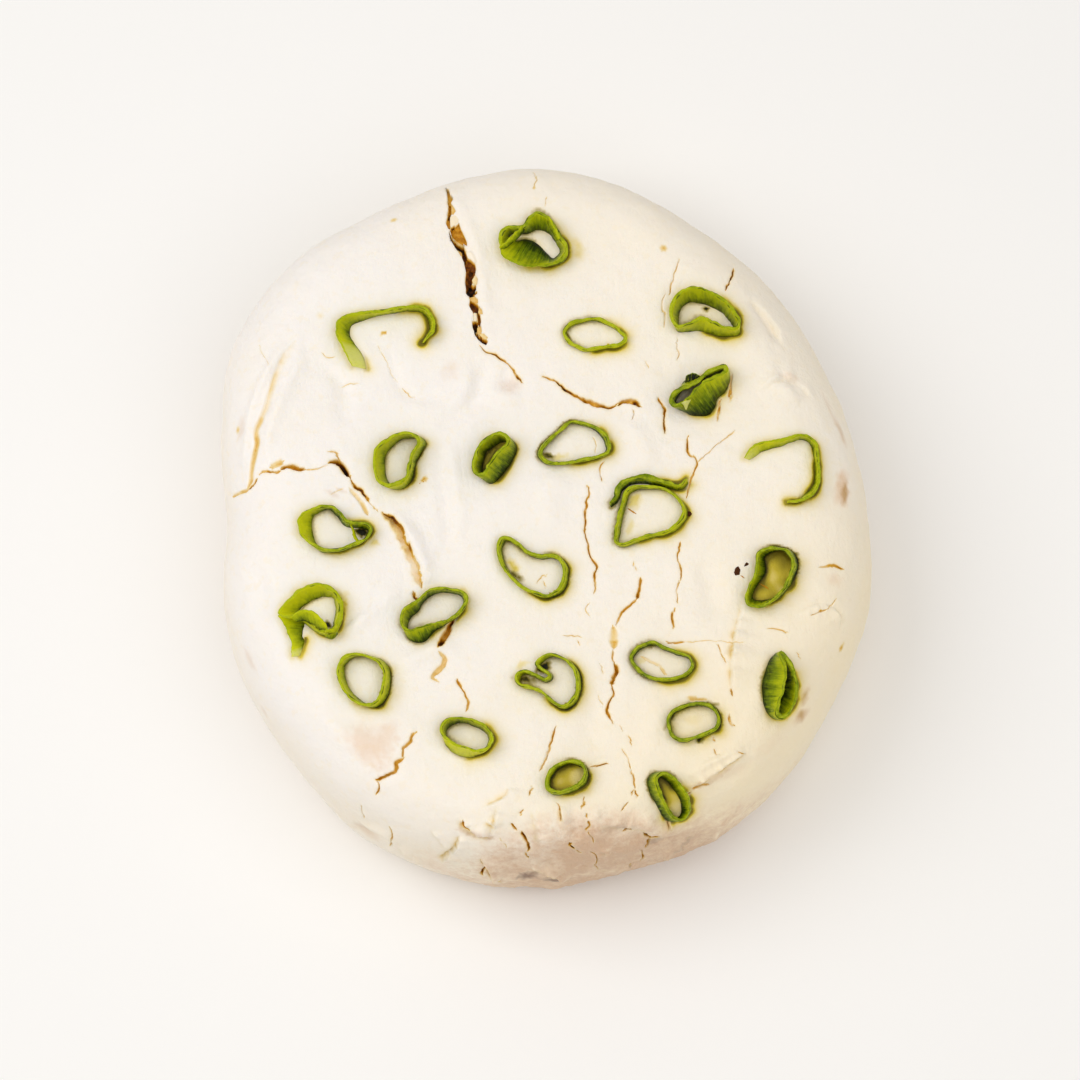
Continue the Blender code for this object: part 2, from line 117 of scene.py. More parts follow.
# A crack narrower than a hairline keeps only a share of its depth
HAIRLINE = 0.55 * MM
SHALLOW = 0.5
# A crack fainter than this is shallower still
FAINT = 0.32

# How finely a crack's line sways and its lips break, and how far its lips, its stain and its whole
# effect on the skin reach past its edges
SWAY_SIZES = (1.2 * MM, 0.55 * MM)
BREAK_SIZE = 0.7 * MM
LIP_REACH = 0.28 * MM
STAIN_REACH = 0.2 * MM
CRACK_REACH = 1.2 * MM

# How far from a slice its juice can reach, and how near to its lines it is full. Past that, how fast
# it fades: the halo all round, the halo in the shadow, the pool inside, that pool's rest and the seam.
# The halo in the shadow, the pool's side behind the wall and the seam are painted shadow
JUICE_LIMIT = 6 * MM
JUICE_FULL = 0.32 * MM
HALO_FADE = 0.4 * MM
SHADOW_FADE = 1.3 * MM
POOL_FADE = 0.45 * MM
REST_FADE = 1.1 * MM
SEAM_FADE = 0.2 * MM

# The cheese's relief dies away over this length towards its flat base
RIM_FIRM = 4 * MM

# How far a slice presses into the cheese, and how far beside it the skin is pressed too
PRESS = 0.1 * MM
PRESS_FADE = 0.7 * MM

# Half the width of the steep edge between two facets of a crack's floor
FACET_EDGE = 0.05 * MM

# Where the dry skin low on the front begins, and how far it takes to be fully dry. Its tan is partly dry
# skin and partly painted shade of the front, which turns down from the light. At its two ends it
# reaches on for some degrees round the wheel, and blends in over more
DRY_EDGE = ((465, 838), (500, 824), (535, 810), (570, 803), (600, 801), (650, 803), (700, 803), (740, 792),
            (775, 772))
DRY_FADE = 13.0 * MM
DRY_REACH = 11
DRY_BLEND = 28
# Skin drier than this has no coarse spacing
CRUMBLY = 0.1

# Each crack: width and depth in mm, darkness from 0 to 1 (the cheese's ochre, with painted shade
# in its depths), the places it runs through and, where it isn't upright, how far its floor slants towards
# its right side (or left if below 0) as seen running down the list. A width or darkness may be several,
# spread evenly along the crack
CRACKS = (
    ((0.3, 0.5, 0.4, 0.4, 1.2, 1.0, 1.0, 1.2, 1.2, 0.9, 1.2, 0.7, 0.4), 1.6, 0.66,
     ((447, 189), (449, 200), (450, 211), (449, 219), (454, 231), (460, 245), (466, 257), (471, 267),
      (470, 278), (471, 288), (472, 297), (475, 308), (477, 320), (477, 330), (485, 341))),
    (0.42, 1.2, 0.56,
     ((481, 346), (488, 352), (497, 356), (505, 362), (512, 369), (518, 376), (523, 382))),
    ((0.3, 0.5, 0.55, 0.45, 0.55, 0.95, 1.0, 0.8, 0.5), 1.3, 0.64,
     ((543, 376), (554, 381), (563, 388), (574, 394), (584, 400), (594, 404), (603, 406), (610, 408),
      (618, 404))),
    ((0.5, 0.85, 1.3, 1.0, 0.4), 1.6, 0.7, ((618, 404), (624, 401), (630, 400), (635, 403), (641, 406))),
    (0.3, 0.8, 0.3, ((634, 409), (634, 414), (633, 420))),
    (0.42, 1.1, 0.5, ((659, 397), (664, 407), (664, 418), (664, 433))),
    (0.4, 1.0, 0.42, ((689, 436), (687, 449), (698, 464), (691, 479), (687, 497))),
    (0.28, 0.7, 0.3, ((699, 462), (708, 452), (717, 444), (726, 437), (735, 431))),
    (0.6, 0.9, 0.36, ((731, 374), (731, 386), (730, 398)), 0.3),
    (0.5, 0.9, 0.34, ((720, 399), (718, 410), (717, 420))),
    (0.36, 0.9, 0.38, ((680, 541), (677, 552), (677, 560), (682, 571), (680, 580))),
    (0.26, 0.7, 0.28, ((680, 581), (677, 592), (677, 603))),
    (0.42, 0.9, 0.4, ((675, 609), (673, 614), (672, 619), (674, 628))),
    (0.42, 1.2, 0.42,
     ((588, 486), (589, 494), (586, 501), (587, 506), (584, 514), (585, 533), (587, 543), (593, 558),
      (597, 566), (595, 577), (595, 593))),
    (0.3, 0.9, 0.3, ((603, 461), (599, 469), (601, 481))),
    (0.24, 0.6, 0.2, ((590, 604), (586, 609), (590, 616))),
    (0.24, 0.5, 0.2, ((634, 562), (635, 570))),
    (0.55, 1.4, 0.5, ((641, 578), (640, 588), (637, 598))),
    (0.4, 1.0, 0.36, ((637, 598), (628, 607), (620, 616), (615, 626))),
    (0.4, 1.0, 0.35, ((614, 650), (612, 658), (614, 664))),
    (0.8, 1.7, 0.52, ((614, 664), (617, 670), (614, 677), (611, 684))),
    (0.45, 1.2, 0.42, ((611, 684), (614, 694), (609, 701), (607, 708), (608, 716), (613, 723))),
    (0.26, 0.6, 0.24, ((620, 726), (622, 731))),
    (0.26, 0.6, 0.24, ((628, 735), (632, 745))),
    (0.28, 0.7, 0.27, ((623, 750), (627, 758), (631, 768))),
    (0.3, 0.8, 0.3, ((632, 770), (633, 780), (635, 789))),
    (0.42, 1.2, 0.42, ((556, 727), (551, 743), (546, 758), (540, 771))),
    (0.36, 0.9, 0.36, ((532, 786), (530, 795))),
    (0.36, 0.8, 0.36, ((524, 810), (520, 814))),
    (0.55, 1.2, 0.46, ((512, 823), (514, 827), (517, 830))),
    (0.62, 1.7, 0.66, ((522, 832), (526, 839), (529, 845), (528, 851))),
    (0.45, 1.2, 0.5, ((525, 853), (529, 859))),
    (0.55, 1.2, 0.6, ((257, 479), (253, 484), (249, 489))),
    (0.45, 1.0, 0.4, ((260, 474), (263, 471), (272, 472), (280, 471))),
    (0.8, 1.6, 0.66, ((281, 469), (289, 467), (297, 470), (305, 470))),
    (0.3, 0.7, 0.26, ((306, 470), (317, 468), (328, 464))),
    (0.9, 2.0, 0.9, ((329, 463), (336, 462), (342, 466), (347, 471), (350, 476))),
    (0.36, 1.0, 0.42, ((350, 476), (351, 480), (353, 484))),
    (0.55, 1.4, 0.62, ((352, 483), (358, 488), (363, 493), (369, 501))),
    (0.36, 1.0, 0.42, ((329, 451), (336, 453), (341, 462))),
    (0.28, 0.6, 0.22, ((369, 501), (373, 507), (378, 511))),
    ((0.7, 1.4, 1.7, 1.5, 1.7, 1.8, 1.5, 0.8), 1.2, (0.8, 0.75, 0.6, 0.42, 0.5),
     ((382, 513), (389, 518), (396, 528), (402, 540), (408, 552), (414, 564), (416, 575), (421, 588)),
     -0.9),
    (0.6, 1.3, 0.66, ((413, 592), (416, 597), (419, 602))),
    ((0.7, 1.1, 1.3, 0.8), 1.9, 0.9, ((455, 618), (450, 626), (445, 635), (438, 647)), 0.25),
    ((0.6, 1.1, 1.2, 0.7, 0.5), 0.8, 0.3, ((440, 652), (444, 659), (440, 668), (433, 677), (438, 682)),
     -0.3),
    ((0.8, 0.4, 0.6, 0.8), 0.8, (0.5, 0.3, 0.42, 0.5), ((457, 679), (462, 690), (468, 701), (465, 711))),
    (0.55, 1.3, 0.45, ((415, 732), (409, 742), (403, 748), (403, 757))),
    (0.7, 1.5, 0.5, ((403, 757), (396, 763), (395, 771), (386, 775), (376, 780))),
    (0.4, 1.0, 0.36, ((376, 780), (379, 788), (376, 795))),
    (0.3, 0.8, 0.28, ((678, 259), (674, 274), (671, 286), (669, 294))),
    (0.4, 1.2, 0.56, ((735, 268), (731, 279), (726, 290))),
    (0.26, 0.7, 0.28, ((677, 338), (677, 348), (679, 353), (677, 360))),
    (0.26, 0.6, 0.22, ((665, 294), (662, 305), (665, 318), (664, 326))),
    (0.36, 0.8, 0.35, ((667, 642), (676, 643), (684, 642))),
    (0.22, 0.4, 0.18, ((684, 642), (705, 641), (722, 642), (744, 643))),
    (0.3, 0.7, 0.28, ((718, 644), (721, 653), (725, 663))),
    (0.45, 0.9, 0.45, ((731, 689), (733, 695))),
    (0.4, 1.0, 0.45, ((730, 715), (730, 720), (734, 726))),
    (0.3, 0.7, 0.26, ((712, 736), (716, 741))),
    (0.28, 0.7, 0.28, ((714, 749), (718, 755))),
    (0.28, 0.7, 0.28, ((737, 752), (744, 755))),
    (0.7, 0.9, 0.4, ((692, 789), (699, 786), (709, 786))),
    (0.4, 0.9, 0.42, ((688, 795), (691, 793))),
    (0.34, 1.0, 0.5, ((590, 767), (600, 764), (608, 763))),
    (0.34, 0.8, 0.3, ((584, 796), (584, 804))),
    (0.7, 1.1, 0.42, ((584, 803), (583, 808))),
    (0.34, 0.8, 0.28, ((557, 803), (561, 812), (560, 821))),
    (0.34, 0.8, 0.28, ((586, 813), (587, 818))),
    (0.45, 1.1, 0.46, ((588, 821), (588, 826), (587, 831))),
    (0.3, 0.7, 0.3, ((588, 832), (592, 838), (594, 843))),
    (0.4, 1.0, 0.46, ((628, 802), (625, 807), (623, 811))),
    (0.34, 0.8, 0.4, ((634, 790), (632, 795))),
    (0.34, 0.8, 0.42, ((635, 790), (638, 797))),
    ((0.4, 0.9, 1.0, 0.8, 0.7, 0.4), 1.3, 0.66,
     ((480, 860), (484, 865), (488, 870), (491, 876), (496, 881), (503, 885)), -0.2),
    (0.6, 1.4, 0.66, ((485, 868), (483, 872), (482, 875))),
    (0.6, 1.5, 0.6, ((462, 821), (464, 826), (469, 830))),
    (0.75, 1.6, 0.9, ((532, 869), (536, 869), (542, 871))),
    (0.4, 1.0, 0.6, ((543, 871), (550, 872), (557, 875), (567, 878))),
    (0.55, 1.4, 0.78, ((569, 843), (571, 847), (574, 849))),
    (0.55, 1.2, 0.66, ((578, 850), (581, 852))),
    (0.36, 0.9, 0.44, ((590, 851), (595, 854), (597, 860), (595, 865), (598, 869))),
    (0.75, 1.4, 0.66, ((624, 832), (628, 830), (631, 830))),
    (0.7, 1.7, 0.95, ((644, 834), (648, 837), (652, 838), (658, 835))),
    (0.7, 1.4, 0.5, ((650, 839), (648, 843), (646, 847))),
    (0.42, 1.0, 0.46, ((641, 850), (643, 856), (641, 863))),
    (0.36, 0.9, 0.36, ((630, 867), (632, 874))),
    (0.4, 0.8, 0.3, ((668, 819), (669, 828))),
    (0.3, 0.7, 0.26, ((361, 806), (362, 812), (364, 818))),
    (0.4, 0.9, 0.3, ((390, 827), (393, 836), (391, 846)), 0.4),
    (0.3, 0.7, 0.26, ((811, 614), (818, 613), (826, 610))),
    (0.26, 0.6, 0.22, ((826, 610), (832, 605), (836, 600))),
    (0.26, 0.6, 0.24, ((767, 628), (777, 630), (787, 633))),
    (0.2, 0.5, 0.2, ((797, 652), (801, 658))),
    (0.22, 0.5, 0.2, ((403, 388), (409, 394), (415, 398))),
    (0.2, 0.4, 0.14, ((341, 385), (350, 383), (360, 384))),
    (0.22, 0.5, 0.16, ((322, 353), (327, 357), (334, 357))),
    (0.2, 0.4, 0.14, ((379, 345), (386, 362), (397, 381))),
    (0.2, 0.4, 0.12, ((259, 345), (264, 356), (269, 366))),
    (0.24, 0.6, 0.22, ((563, 634), (573, 635), (581, 636))),
    (0.24, 0.6, 0.24, ((577, 641), (579, 644))),
    (0.22, 0.5, 0.2, ((601, 664), (602, 673))),
    (0.22, 0.5, 0.18, ((598, 697), (603, 706))),
    (0.22, 0.5, 0.2, ((533, 173), (536, 181), (534, 188))),
    (0.22, 0.5, 0.16, ((546, 197), (545, 205))),
    (0.24, 0.5, 0.2, ((646, 361), (649, 368))),
    (0.24, 0.5, 0.24, ((500, 839), (502, 841))),
    ((0.3, 0.6, 0.7, 0.3), 0.7, (0.3, 0.5, 0.62, 0.4), ((819, 567), (828, 565), (836, 565), (844, 568)),
     0.3),
    (0.6, 0.5, 0.3, ((642, 656), (651, 661), (659, 666), (667, 674)), 0.5),
    (0.3, 0.6, 0.26, ((557, 431), (553, 436))),
    (0.24, 0.5, 0.2, ((593, 437), (596, 446), (595, 453))),
    (0.26, 0.5, 0.24, ((537, 583), (541, 577), (547, 575))),
    (0.26, 0.5, 0.24, ((546, 588), (545, 581))),
    (0.24, 0.5, 0.22, ((505, 843), (507, 848))),
)

# Facets of the floor of the widest crack: depth in mm below the skin, darkness (the cheese's ochre, with
# painted shade that grows with depth), and corners
FACETS = (
    (0.9, 0.42,
     ((446, 188), (449, 189), (450, 194), (453, 197), (453, 200), (451, 203), (448, 203), (447, 196))),
    (1.3, 0.6, ((448, 202), (451, 203), (451, 208), (453, 213), (449, 216), (447, 216), (448, 209))),
    (0.6, 0.3, ((451, 203), (454, 207), (456, 211), (453, 215), (451, 212))),
    (2.4, 0.86, ((449, 211), (453, 213), (450, 216), (449, 219), (447, 218), (448, 214))),
    (0.9, 0.5, ((447, 217), (449, 219), (450, 224), (450, 229), (448, 228), (446, 223))),
    (0.15, 0.1, ((450, 217), (455, 215), (459, 220), (458, 223), (451, 227), (450, 223))),
    (0.9, 0.52, ((454, 227), (459, 223), (461, 229), (458, 231))),
    (1.1, 0.6,
     ((450, 229), (454, 227), (458, 231), (461, 229), (464, 235), (467, 242), (467, 246), (463, 243),
      (457, 239), (451, 233))),
    (1.3, 0.28, ((451, 233), (457, 239), (463, 243), (465, 246), (458, 243), (452, 237))),
    (3.0, 0.97,
     ((449, 231), (451, 235), (454, 240), (459, 243), (464, 246), (465, 251), (461, 250), (457, 247),
      (453, 243), (450, 238))),
    (1.4, 0.64, ((450, 239), (453, 243), (457, 247), (461, 250), (462, 253), (457, 250))),
    (1.0, 0.34, ((457, 248), (461, 250), (463, 253), (461, 256), (459, 252))),
    (2.6, 0.9, ((462, 252), (465, 250), (467, 256), (467, 263), (464, 262), (462, 257))),
    (0.3, 0.05, ((466, 252), (471, 251), (475, 256), (477, 262), (475, 264), (468, 258))),
    (2.2, 0.76,
     ((466, 256), (471, 259), (475, 263), (476, 268), (475, 274), (472, 279), (470, 284), (466, 289),
      (465, 281), (466, 271), (464, 263))),
    (2.7, 0.87, ((469, 266), (473, 268), (472, 276), (470, 284), (467, 286), (468, 275))),
    (0.4, 0.16, ((472, 279), (475, 274), (478, 279), (477, 285), (473, 284))),
    (3.3, 1.0,
     ((466, 288), (469, 282), (473, 285), (476, 284), (476, 290), (474, 292), (472, 295), (468, 296),
      (466, 293))),
    (1.4, 0.66, ((473, 292), (477, 291), (477, 294), (472, 296))),
    (0.9, 0.3, ((469, 296), (474, 295), (478, 299), (478, 303), (474, 302), (470, 300))),
    (2.3, 0.8,
     ((470, 299), (474, 301), (478, 304), (479, 308), (478, 313), (474, 313), (471, 309), (469, 305))),
    (0.7, 0.28, ((479, 306), (482, 309), (483, 314), (480, 314), (478, 311))),
    (0.5, 0.2, ((473, 312), (477, 312), (478, 321), (475, 321), (474, 318))),
    (1.5, 0.72, ((478, 312), (480, 314), (481, 321), (480, 326), (478, 324))),
    (3.0, 1.0, ((472, 321), (476, 320), (478, 324), (477, 330), (475, 333), (473, 328))),
    (0.8, 0.3, ((477, 326), (481, 325), (482, 331), (480, 336), (477, 332))),
    (3.0, 1.0,
     ((474, 331), (477, 333), (481, 337), (486, 338), (488, 341), (486, 345), (482, 343), (478, 339),
      (475, 335))),
    (0.4, 0.2, ((479, 333), (484, 333), (488, 337), (487, 339), (482, 337))),
)

# How far a trough wanders from its line, against a crack
TROUGH_SWAY = 0.15

# Smooth troughs with no lips, in the same terms as the cracks. Their darkness is partly the cheese's tan
# and partly painted shade on the slope that turns from the light
TROUGHS = (
    (2.2, 0.9, (0.08, 0.2, 0.34, 0.38, 0.34),
     ((296, 342), (287, 356), (280, 370), (273, 388), (268, 404), (262, 419), (257, 431), (258, 443),
      (255, 456), (252, 470), (251, 482), (247, 492)), 0.85),
    (1.1, 0.6, 0.4, ((249, 490), (241, 493), (233, 497)), 0.3),
    (2.0, 0.5, 0.34, ((270, 467), (277, 464), (283, 461))),
    ((1.0, 2.5, 2.8, 1.2), 0.5, 0.36, ((613, 626), (614, 632), (614, 640), (614, 649))),
    (1.2, 0.8, 0.34, ((350, 488), (358, 497), (364, 506), (368, 515)), 0.5),
    (0.5, 0.5, 0.24, ((344, 488), (337, 491), (332, 494))),
)

# Where one layer of skin laps over the next: reach and height in mm, darkness of the painted shadow in the
# seam under it, and its places, with the upper layer to the left as seen running down the list
LAPS = (
    (3.0, 0.34, 0.24, ((509, 788), (507, 795), (498, 801), (490, 805), (482, 808))),
    (1.6, 0.34, 0.2, ((499, 806), (496, 815), (494, 826), (490, 836))),
    (1.2, 0.26, 0.26, ((487, 821), (491, 825), (496, 828))),
    (3.2, 0.55, 0.42, ((460, 819), (463, 826), (469, 831), (477, 835), (489, 837))),
    (2.0, 0.42, 0.3, ((460, 836), (457, 845), (450, 852), (444, 857), (437, 859))),
    (1.8, 0.45, 0.5, ((480, 859), (486, 866), (491, 874), (497, 880), (506, 886))),
    (2.2, 0.42, 0.45, ((529, 868), (540, 870), (550, 872), (558, 875), (570, 878))),
    (2.2, 0.22, 0.16, ((533, 812), (535, 824), (538, 842))),
    (3.0, 0.24, 0.2, ((598, 825), (612, 827), (625, 829), (640, 829), (656, 832))),
    (2.6, 0.4, 0.3, ((657, 865), (667, 859), (676, 852), (684, 843), (691, 832))),
    (1.3, 0.34, 0.24, ((656, 862), (664, 858), (672, 856))),
    (1.2, 0.34, 0.22, ((668, 818), (669, 824), (670, 831))),
    (1.9, 0.4, 0.24, ((689, 792), (705, 781), (725, 767), (746, 753))),
    (2.6, 0.42, 0.26, ((744, 598), (741, 613), (735, 634), (732, 660), (732, 692))),
    (2.0, 0.3, 0.16, ((599, 851), (612, 852), (624, 851), (639, 850))),
    (2.4, 0.3, 0.14, ((560, 806), (562, 820), (568, 832))),
    (2.2, 0.3, 0.12, ((432, 832), (441, 842), (447, 850))),
    (2.6, 0.3, 0.14, ((399, 848), (412, 858), (430, 865))),
    (3.0, 0.3, 0.1, ((700, 842), (714, 834), (728, 820), (738, 806))),
    (2.4, 0.26, 0.1, ((676, 853), (690, 855), (706, 850))),
    (3.0, 0.22, 0.08, ((838, 631), (840, 617), (831, 607), (815, 606), (800, 613))),
    (3.0, 0.25, 0.1, ((752, 301), (768, 316), (779, 335), (788, 352))),
    (3.0, 0.22, 0.06, ((760, 392), (775, 381), (795, 382), (812, 398))),
)

# Each soft fold or ridge: width and height in mm (below 0 sinks), and the places it runs through
FOLDS = (
    (3.0, 0.2, ((457, 196), (463, 212), (476, 245), (484, 280), (486, 318))),
    (2.0, 0.3, ((285, 343), (268, 371), (252, 408), (247, 440), (243, 470))),
    (2.6, 0.3, ((306, 352), (290, 380), (277, 410), (268, 440), (265, 462))),
    (3.6, 0.55, ((394, 513), (404, 527), (415, 545), (424, 566), (429, 583))),
    (1.6, 0.26, ((686, 777), (700, 768), (718, 759), (736, 750))),
    (3.6, -0.24, ((694, 797), (715, 786), (738, 771), (756, 758))),
    (3.2, -0.3, ((483, 358), (481, 377), (474, 402), (455, 418), (438, 431))),
    (2.8, 0.26, ((470, 362), (468, 380), (461, 396), (446, 408))),
    (2.6, -0.28, ((437, 431), (438, 451), (446, 502), (448, 534), (443, 558))),
    (2.4, 0.22, ((448, 440), (452, 470), (459, 510), (458, 545))),
    (2.4, -0.22, ((388, 346), (398, 382), (413, 397), (437, 398), (459, 404))),
    (2.2, 0.3, ((343, 635), (358, 622), (380, 604), (400, 589))),
    (2.0, -0.25, ((340, 628), (360, 612), (384, 595))),
    (2.0, -0.2, ((420, 560), (450, 548), (470, 528))),
    (3.6, 0.35, ((395, 668), (420, 655), (452, 640))),
    (3.4, -0.3, ((305, 380), (330, 372), (345, 395), (340, 430))),
    (3.0, 0.3, ((760, 385), (782, 388), (800, 402))),
    (2.8, -0.3, ((749, 300), (765, 318), (778, 345))),
    (2.6, 0.25, ((520, 395), (508, 400), (496, 393), (494, 381))),
    (4.0, -0.28, ((512, 388), (508, 378), (500, 372))),
    (3.6, 0.3, ((636, 812), (652, 824), (664, 838))),
    (2.6, 0.35, ((597, 806), (595, 822), (604, 838))),
    (2.4, -0.3, ((575, 800), (572, 820), (580, 838))),
    (2.6, -0.28, ((350, 830), (372, 832), (388, 840))),
    (2.4, 0.3, ((362, 826), (382, 832), (396, 846))),
    (3.0, 0.25, ((540, 822), (548, 836), (545, 850))),
    (5.0, -0.35, ((600, 700), (590, 730), (596, 760))),
    (4.5, 0.3, ((660, 700), (650, 730), (655, 755))),
    (5.0, -0.3, ((330, 700), (350, 720), (380, 728))),
    (5.0, 0.3, ((560, 470), (548, 500), (552, 530))),
    (5.0, -0.3, ((250, 560), (262, 590), (262, 630))),
    (4.0, 0.3, ((620, 420), (640, 440), (650, 470))),
    (5.0, -0.3, ((700, 560), (712, 590), (708, 620))),
)

# The marks on the skin, of each kind: place, length and width in mm, turn in degrees and strength
MARKS = {
    "brown": (
        ((392, 221), 0.9, 0.5, 20, 0.55),
        ((662, 249), 0.7, 0.6, 0, 0.6),
        ((318, 317), 0.9, 0.6, 80, 0.5),
        ((384, 333), 1.1, 0.5, 30, 0.45),
        ((853, 577), 1.5, 0.5, 75, 0.5),
        ((841, 648), 2.0, 0.6, 55, 0.45),
        ((820, 611), 0.8, 0.4, 10, 0.65),
        ((731, 398), 1.2, 0.4, 60, 0.35),
        ((702, 375), 0.9, 0.5, 30, 0.3),
        ((238, 429), 1.2, 0.6, 10, 0.25),
        ((424, 480), 1.1, 0.9, 0, 0.45),
        ((536, 178), 1.4, 0.3, 85, 0.22),
        ((534, 188), 1.2, 0.4, 85, 0.28),
        ((697, 699), 3.0, 0.6, -4, 0.42),
    ),
    # Partly tan marks, partly painted shadow on the low side of flakes and laps
    "tan": (
        ((845, 493), 3.6, 1.4, 75, 0.8),
        ((840, 430), 5.0, 1.4, -62, 0.4),
        ((717, 776), 6.0, 1.8, 34, 0.34),
        ((698, 786), 3.2, 1.3, 12, 0.5),
        ((828, 404), 3.6, 1.2, -60, 0.18),
        ((512, 384), 3.2, 2.6, 40, 0.2),
        ((450, 371), 3.0, 2.4, 60, 0.12),
        ((241, 428), 3.2, 2.2, 70, 0.2),
        ((250, 660), 4.2, 1.6, -65, 0.2),
        ((264, 712), 2.6, 1.2, -60, 0.16),
        ((333, 494), 2.2, 0.9, -25, 0.2),
        ((340, 490), 1.6, 0.6, -25, 0.2),
        ((803, 698), 2.6, 1.6, 80, 0.6),
        ((801, 716), 2.8, 2.0, 20, 0.75),
        ((366, 832), 5.0, 2.6, -30, 0.26),
        ((620, 186), 3.4, 1.0, -28, 0.24),
        ((610, 181), 2.2, 0.8, -25, 0.2),
        ((742, 246), 2.6, 1.2, -40, 0.2),
        ((470, 833), 3.4, 1.6, -25, 0.6),
        ((484, 837), 3.0, 1.2, -5, 0.55),
        ((536, 838), 1.2, 4.6, 0, 0.3),
    ),
    "pink": (
        ((843, 488), 6.0, 3.0, 70, 0.75),
        ((369, 747), 8.2, 6.0, -50, 0.42),
        ((385, 738), 5.2, 3.6, 60, 0.35),
        ((735, 772), 5.0, 2.0, 28, 0.16),
        ((770, 745), 7.0, 3.0, 40, 0.1),
        ((835, 580), 3.2, 2.0, 0, 0.25),
        ((789, 378), 3.4, 1.6, 10, 0.25),
        ((690, 205), 6.0, 2.4, -38, 0.2),
    ),
    # Painted shadow under the laps and flakes of the dry skin
    "shadow_under_flakes": (
        ((478, 834), 4.4, 1.6, -14, 0.3),
        ((528, 876), 3.6, 2.2, 15, 0.8),
        ((556, 880), 5.0, 2.0, -6, 0.7),
        ((620, 828), 6.0, 1.4, 0, 0.25),
        ((654, 840), 3.0, 2.0, 30, 0.4),
        ((682, 845), 4.6, 1.6, 50, 0.3),
        ((676, 858), 4.0, 1.2, 20, 0.25),
    ),
    # Painted shadow: dark spots in the shade beside and under the slices
    "gloom": (
        ((706, 309), 0.9, 0.7, 0, 1.2),
        ((362, 532), 1.9, 1.4, 0, 1.3),
        ((328, 625), 1.2, 0.8, -40, 1.2),
        ((515, 575), 3.0, 0.8, -35, 0.8),
        ((672, 717), 3.4, 0.7, 60, 0.9),
        ((706, 703), 3.6, 0.7, -12, 0.8),
        ((568, 336), 2.0, 0.5, -60, 0.8),
        ((445, 724), 2.0, 0.7, 50, 0.7),
        ((652, 646), 2.6, 0.5, 15, 0.7),
        ((526, 680), 3.4, 1.1, -14, 0.9),
        ((543, 668), 2.2, 1.6, 30, 1.2),
        ((549, 456), 2.0, 0.8, -30, 0.9),
        ((700, 740), 1.2, 0.9, 10, 1.0),
    ),
    "juice": (
        ((578, 248), 1.6, 4.0, 10, 0.55),
        ((512, 566), 3.0, 1.8, -50, 0.9),
        ((633, 500), 3.0, 2.4, 40, 0.75),
        ((630, 528), 2.6, 1.2, 80, 0.5),
        ((345, 604), 1.0, 3.4, 0, 0.9),
        ((374, 542), 1.8, 1.2, 40, 0.7),
        ((556, 458), 3.4, 1.2, 10, 0.6),
        ((640, 660), 2.0, 1.4, 0, 0.5),
        ((522, 665), 2.4, 1.0, 30, 0.5),
        ((692, 720), 3.4, 2.4, 0, 0.3),
    ),
}
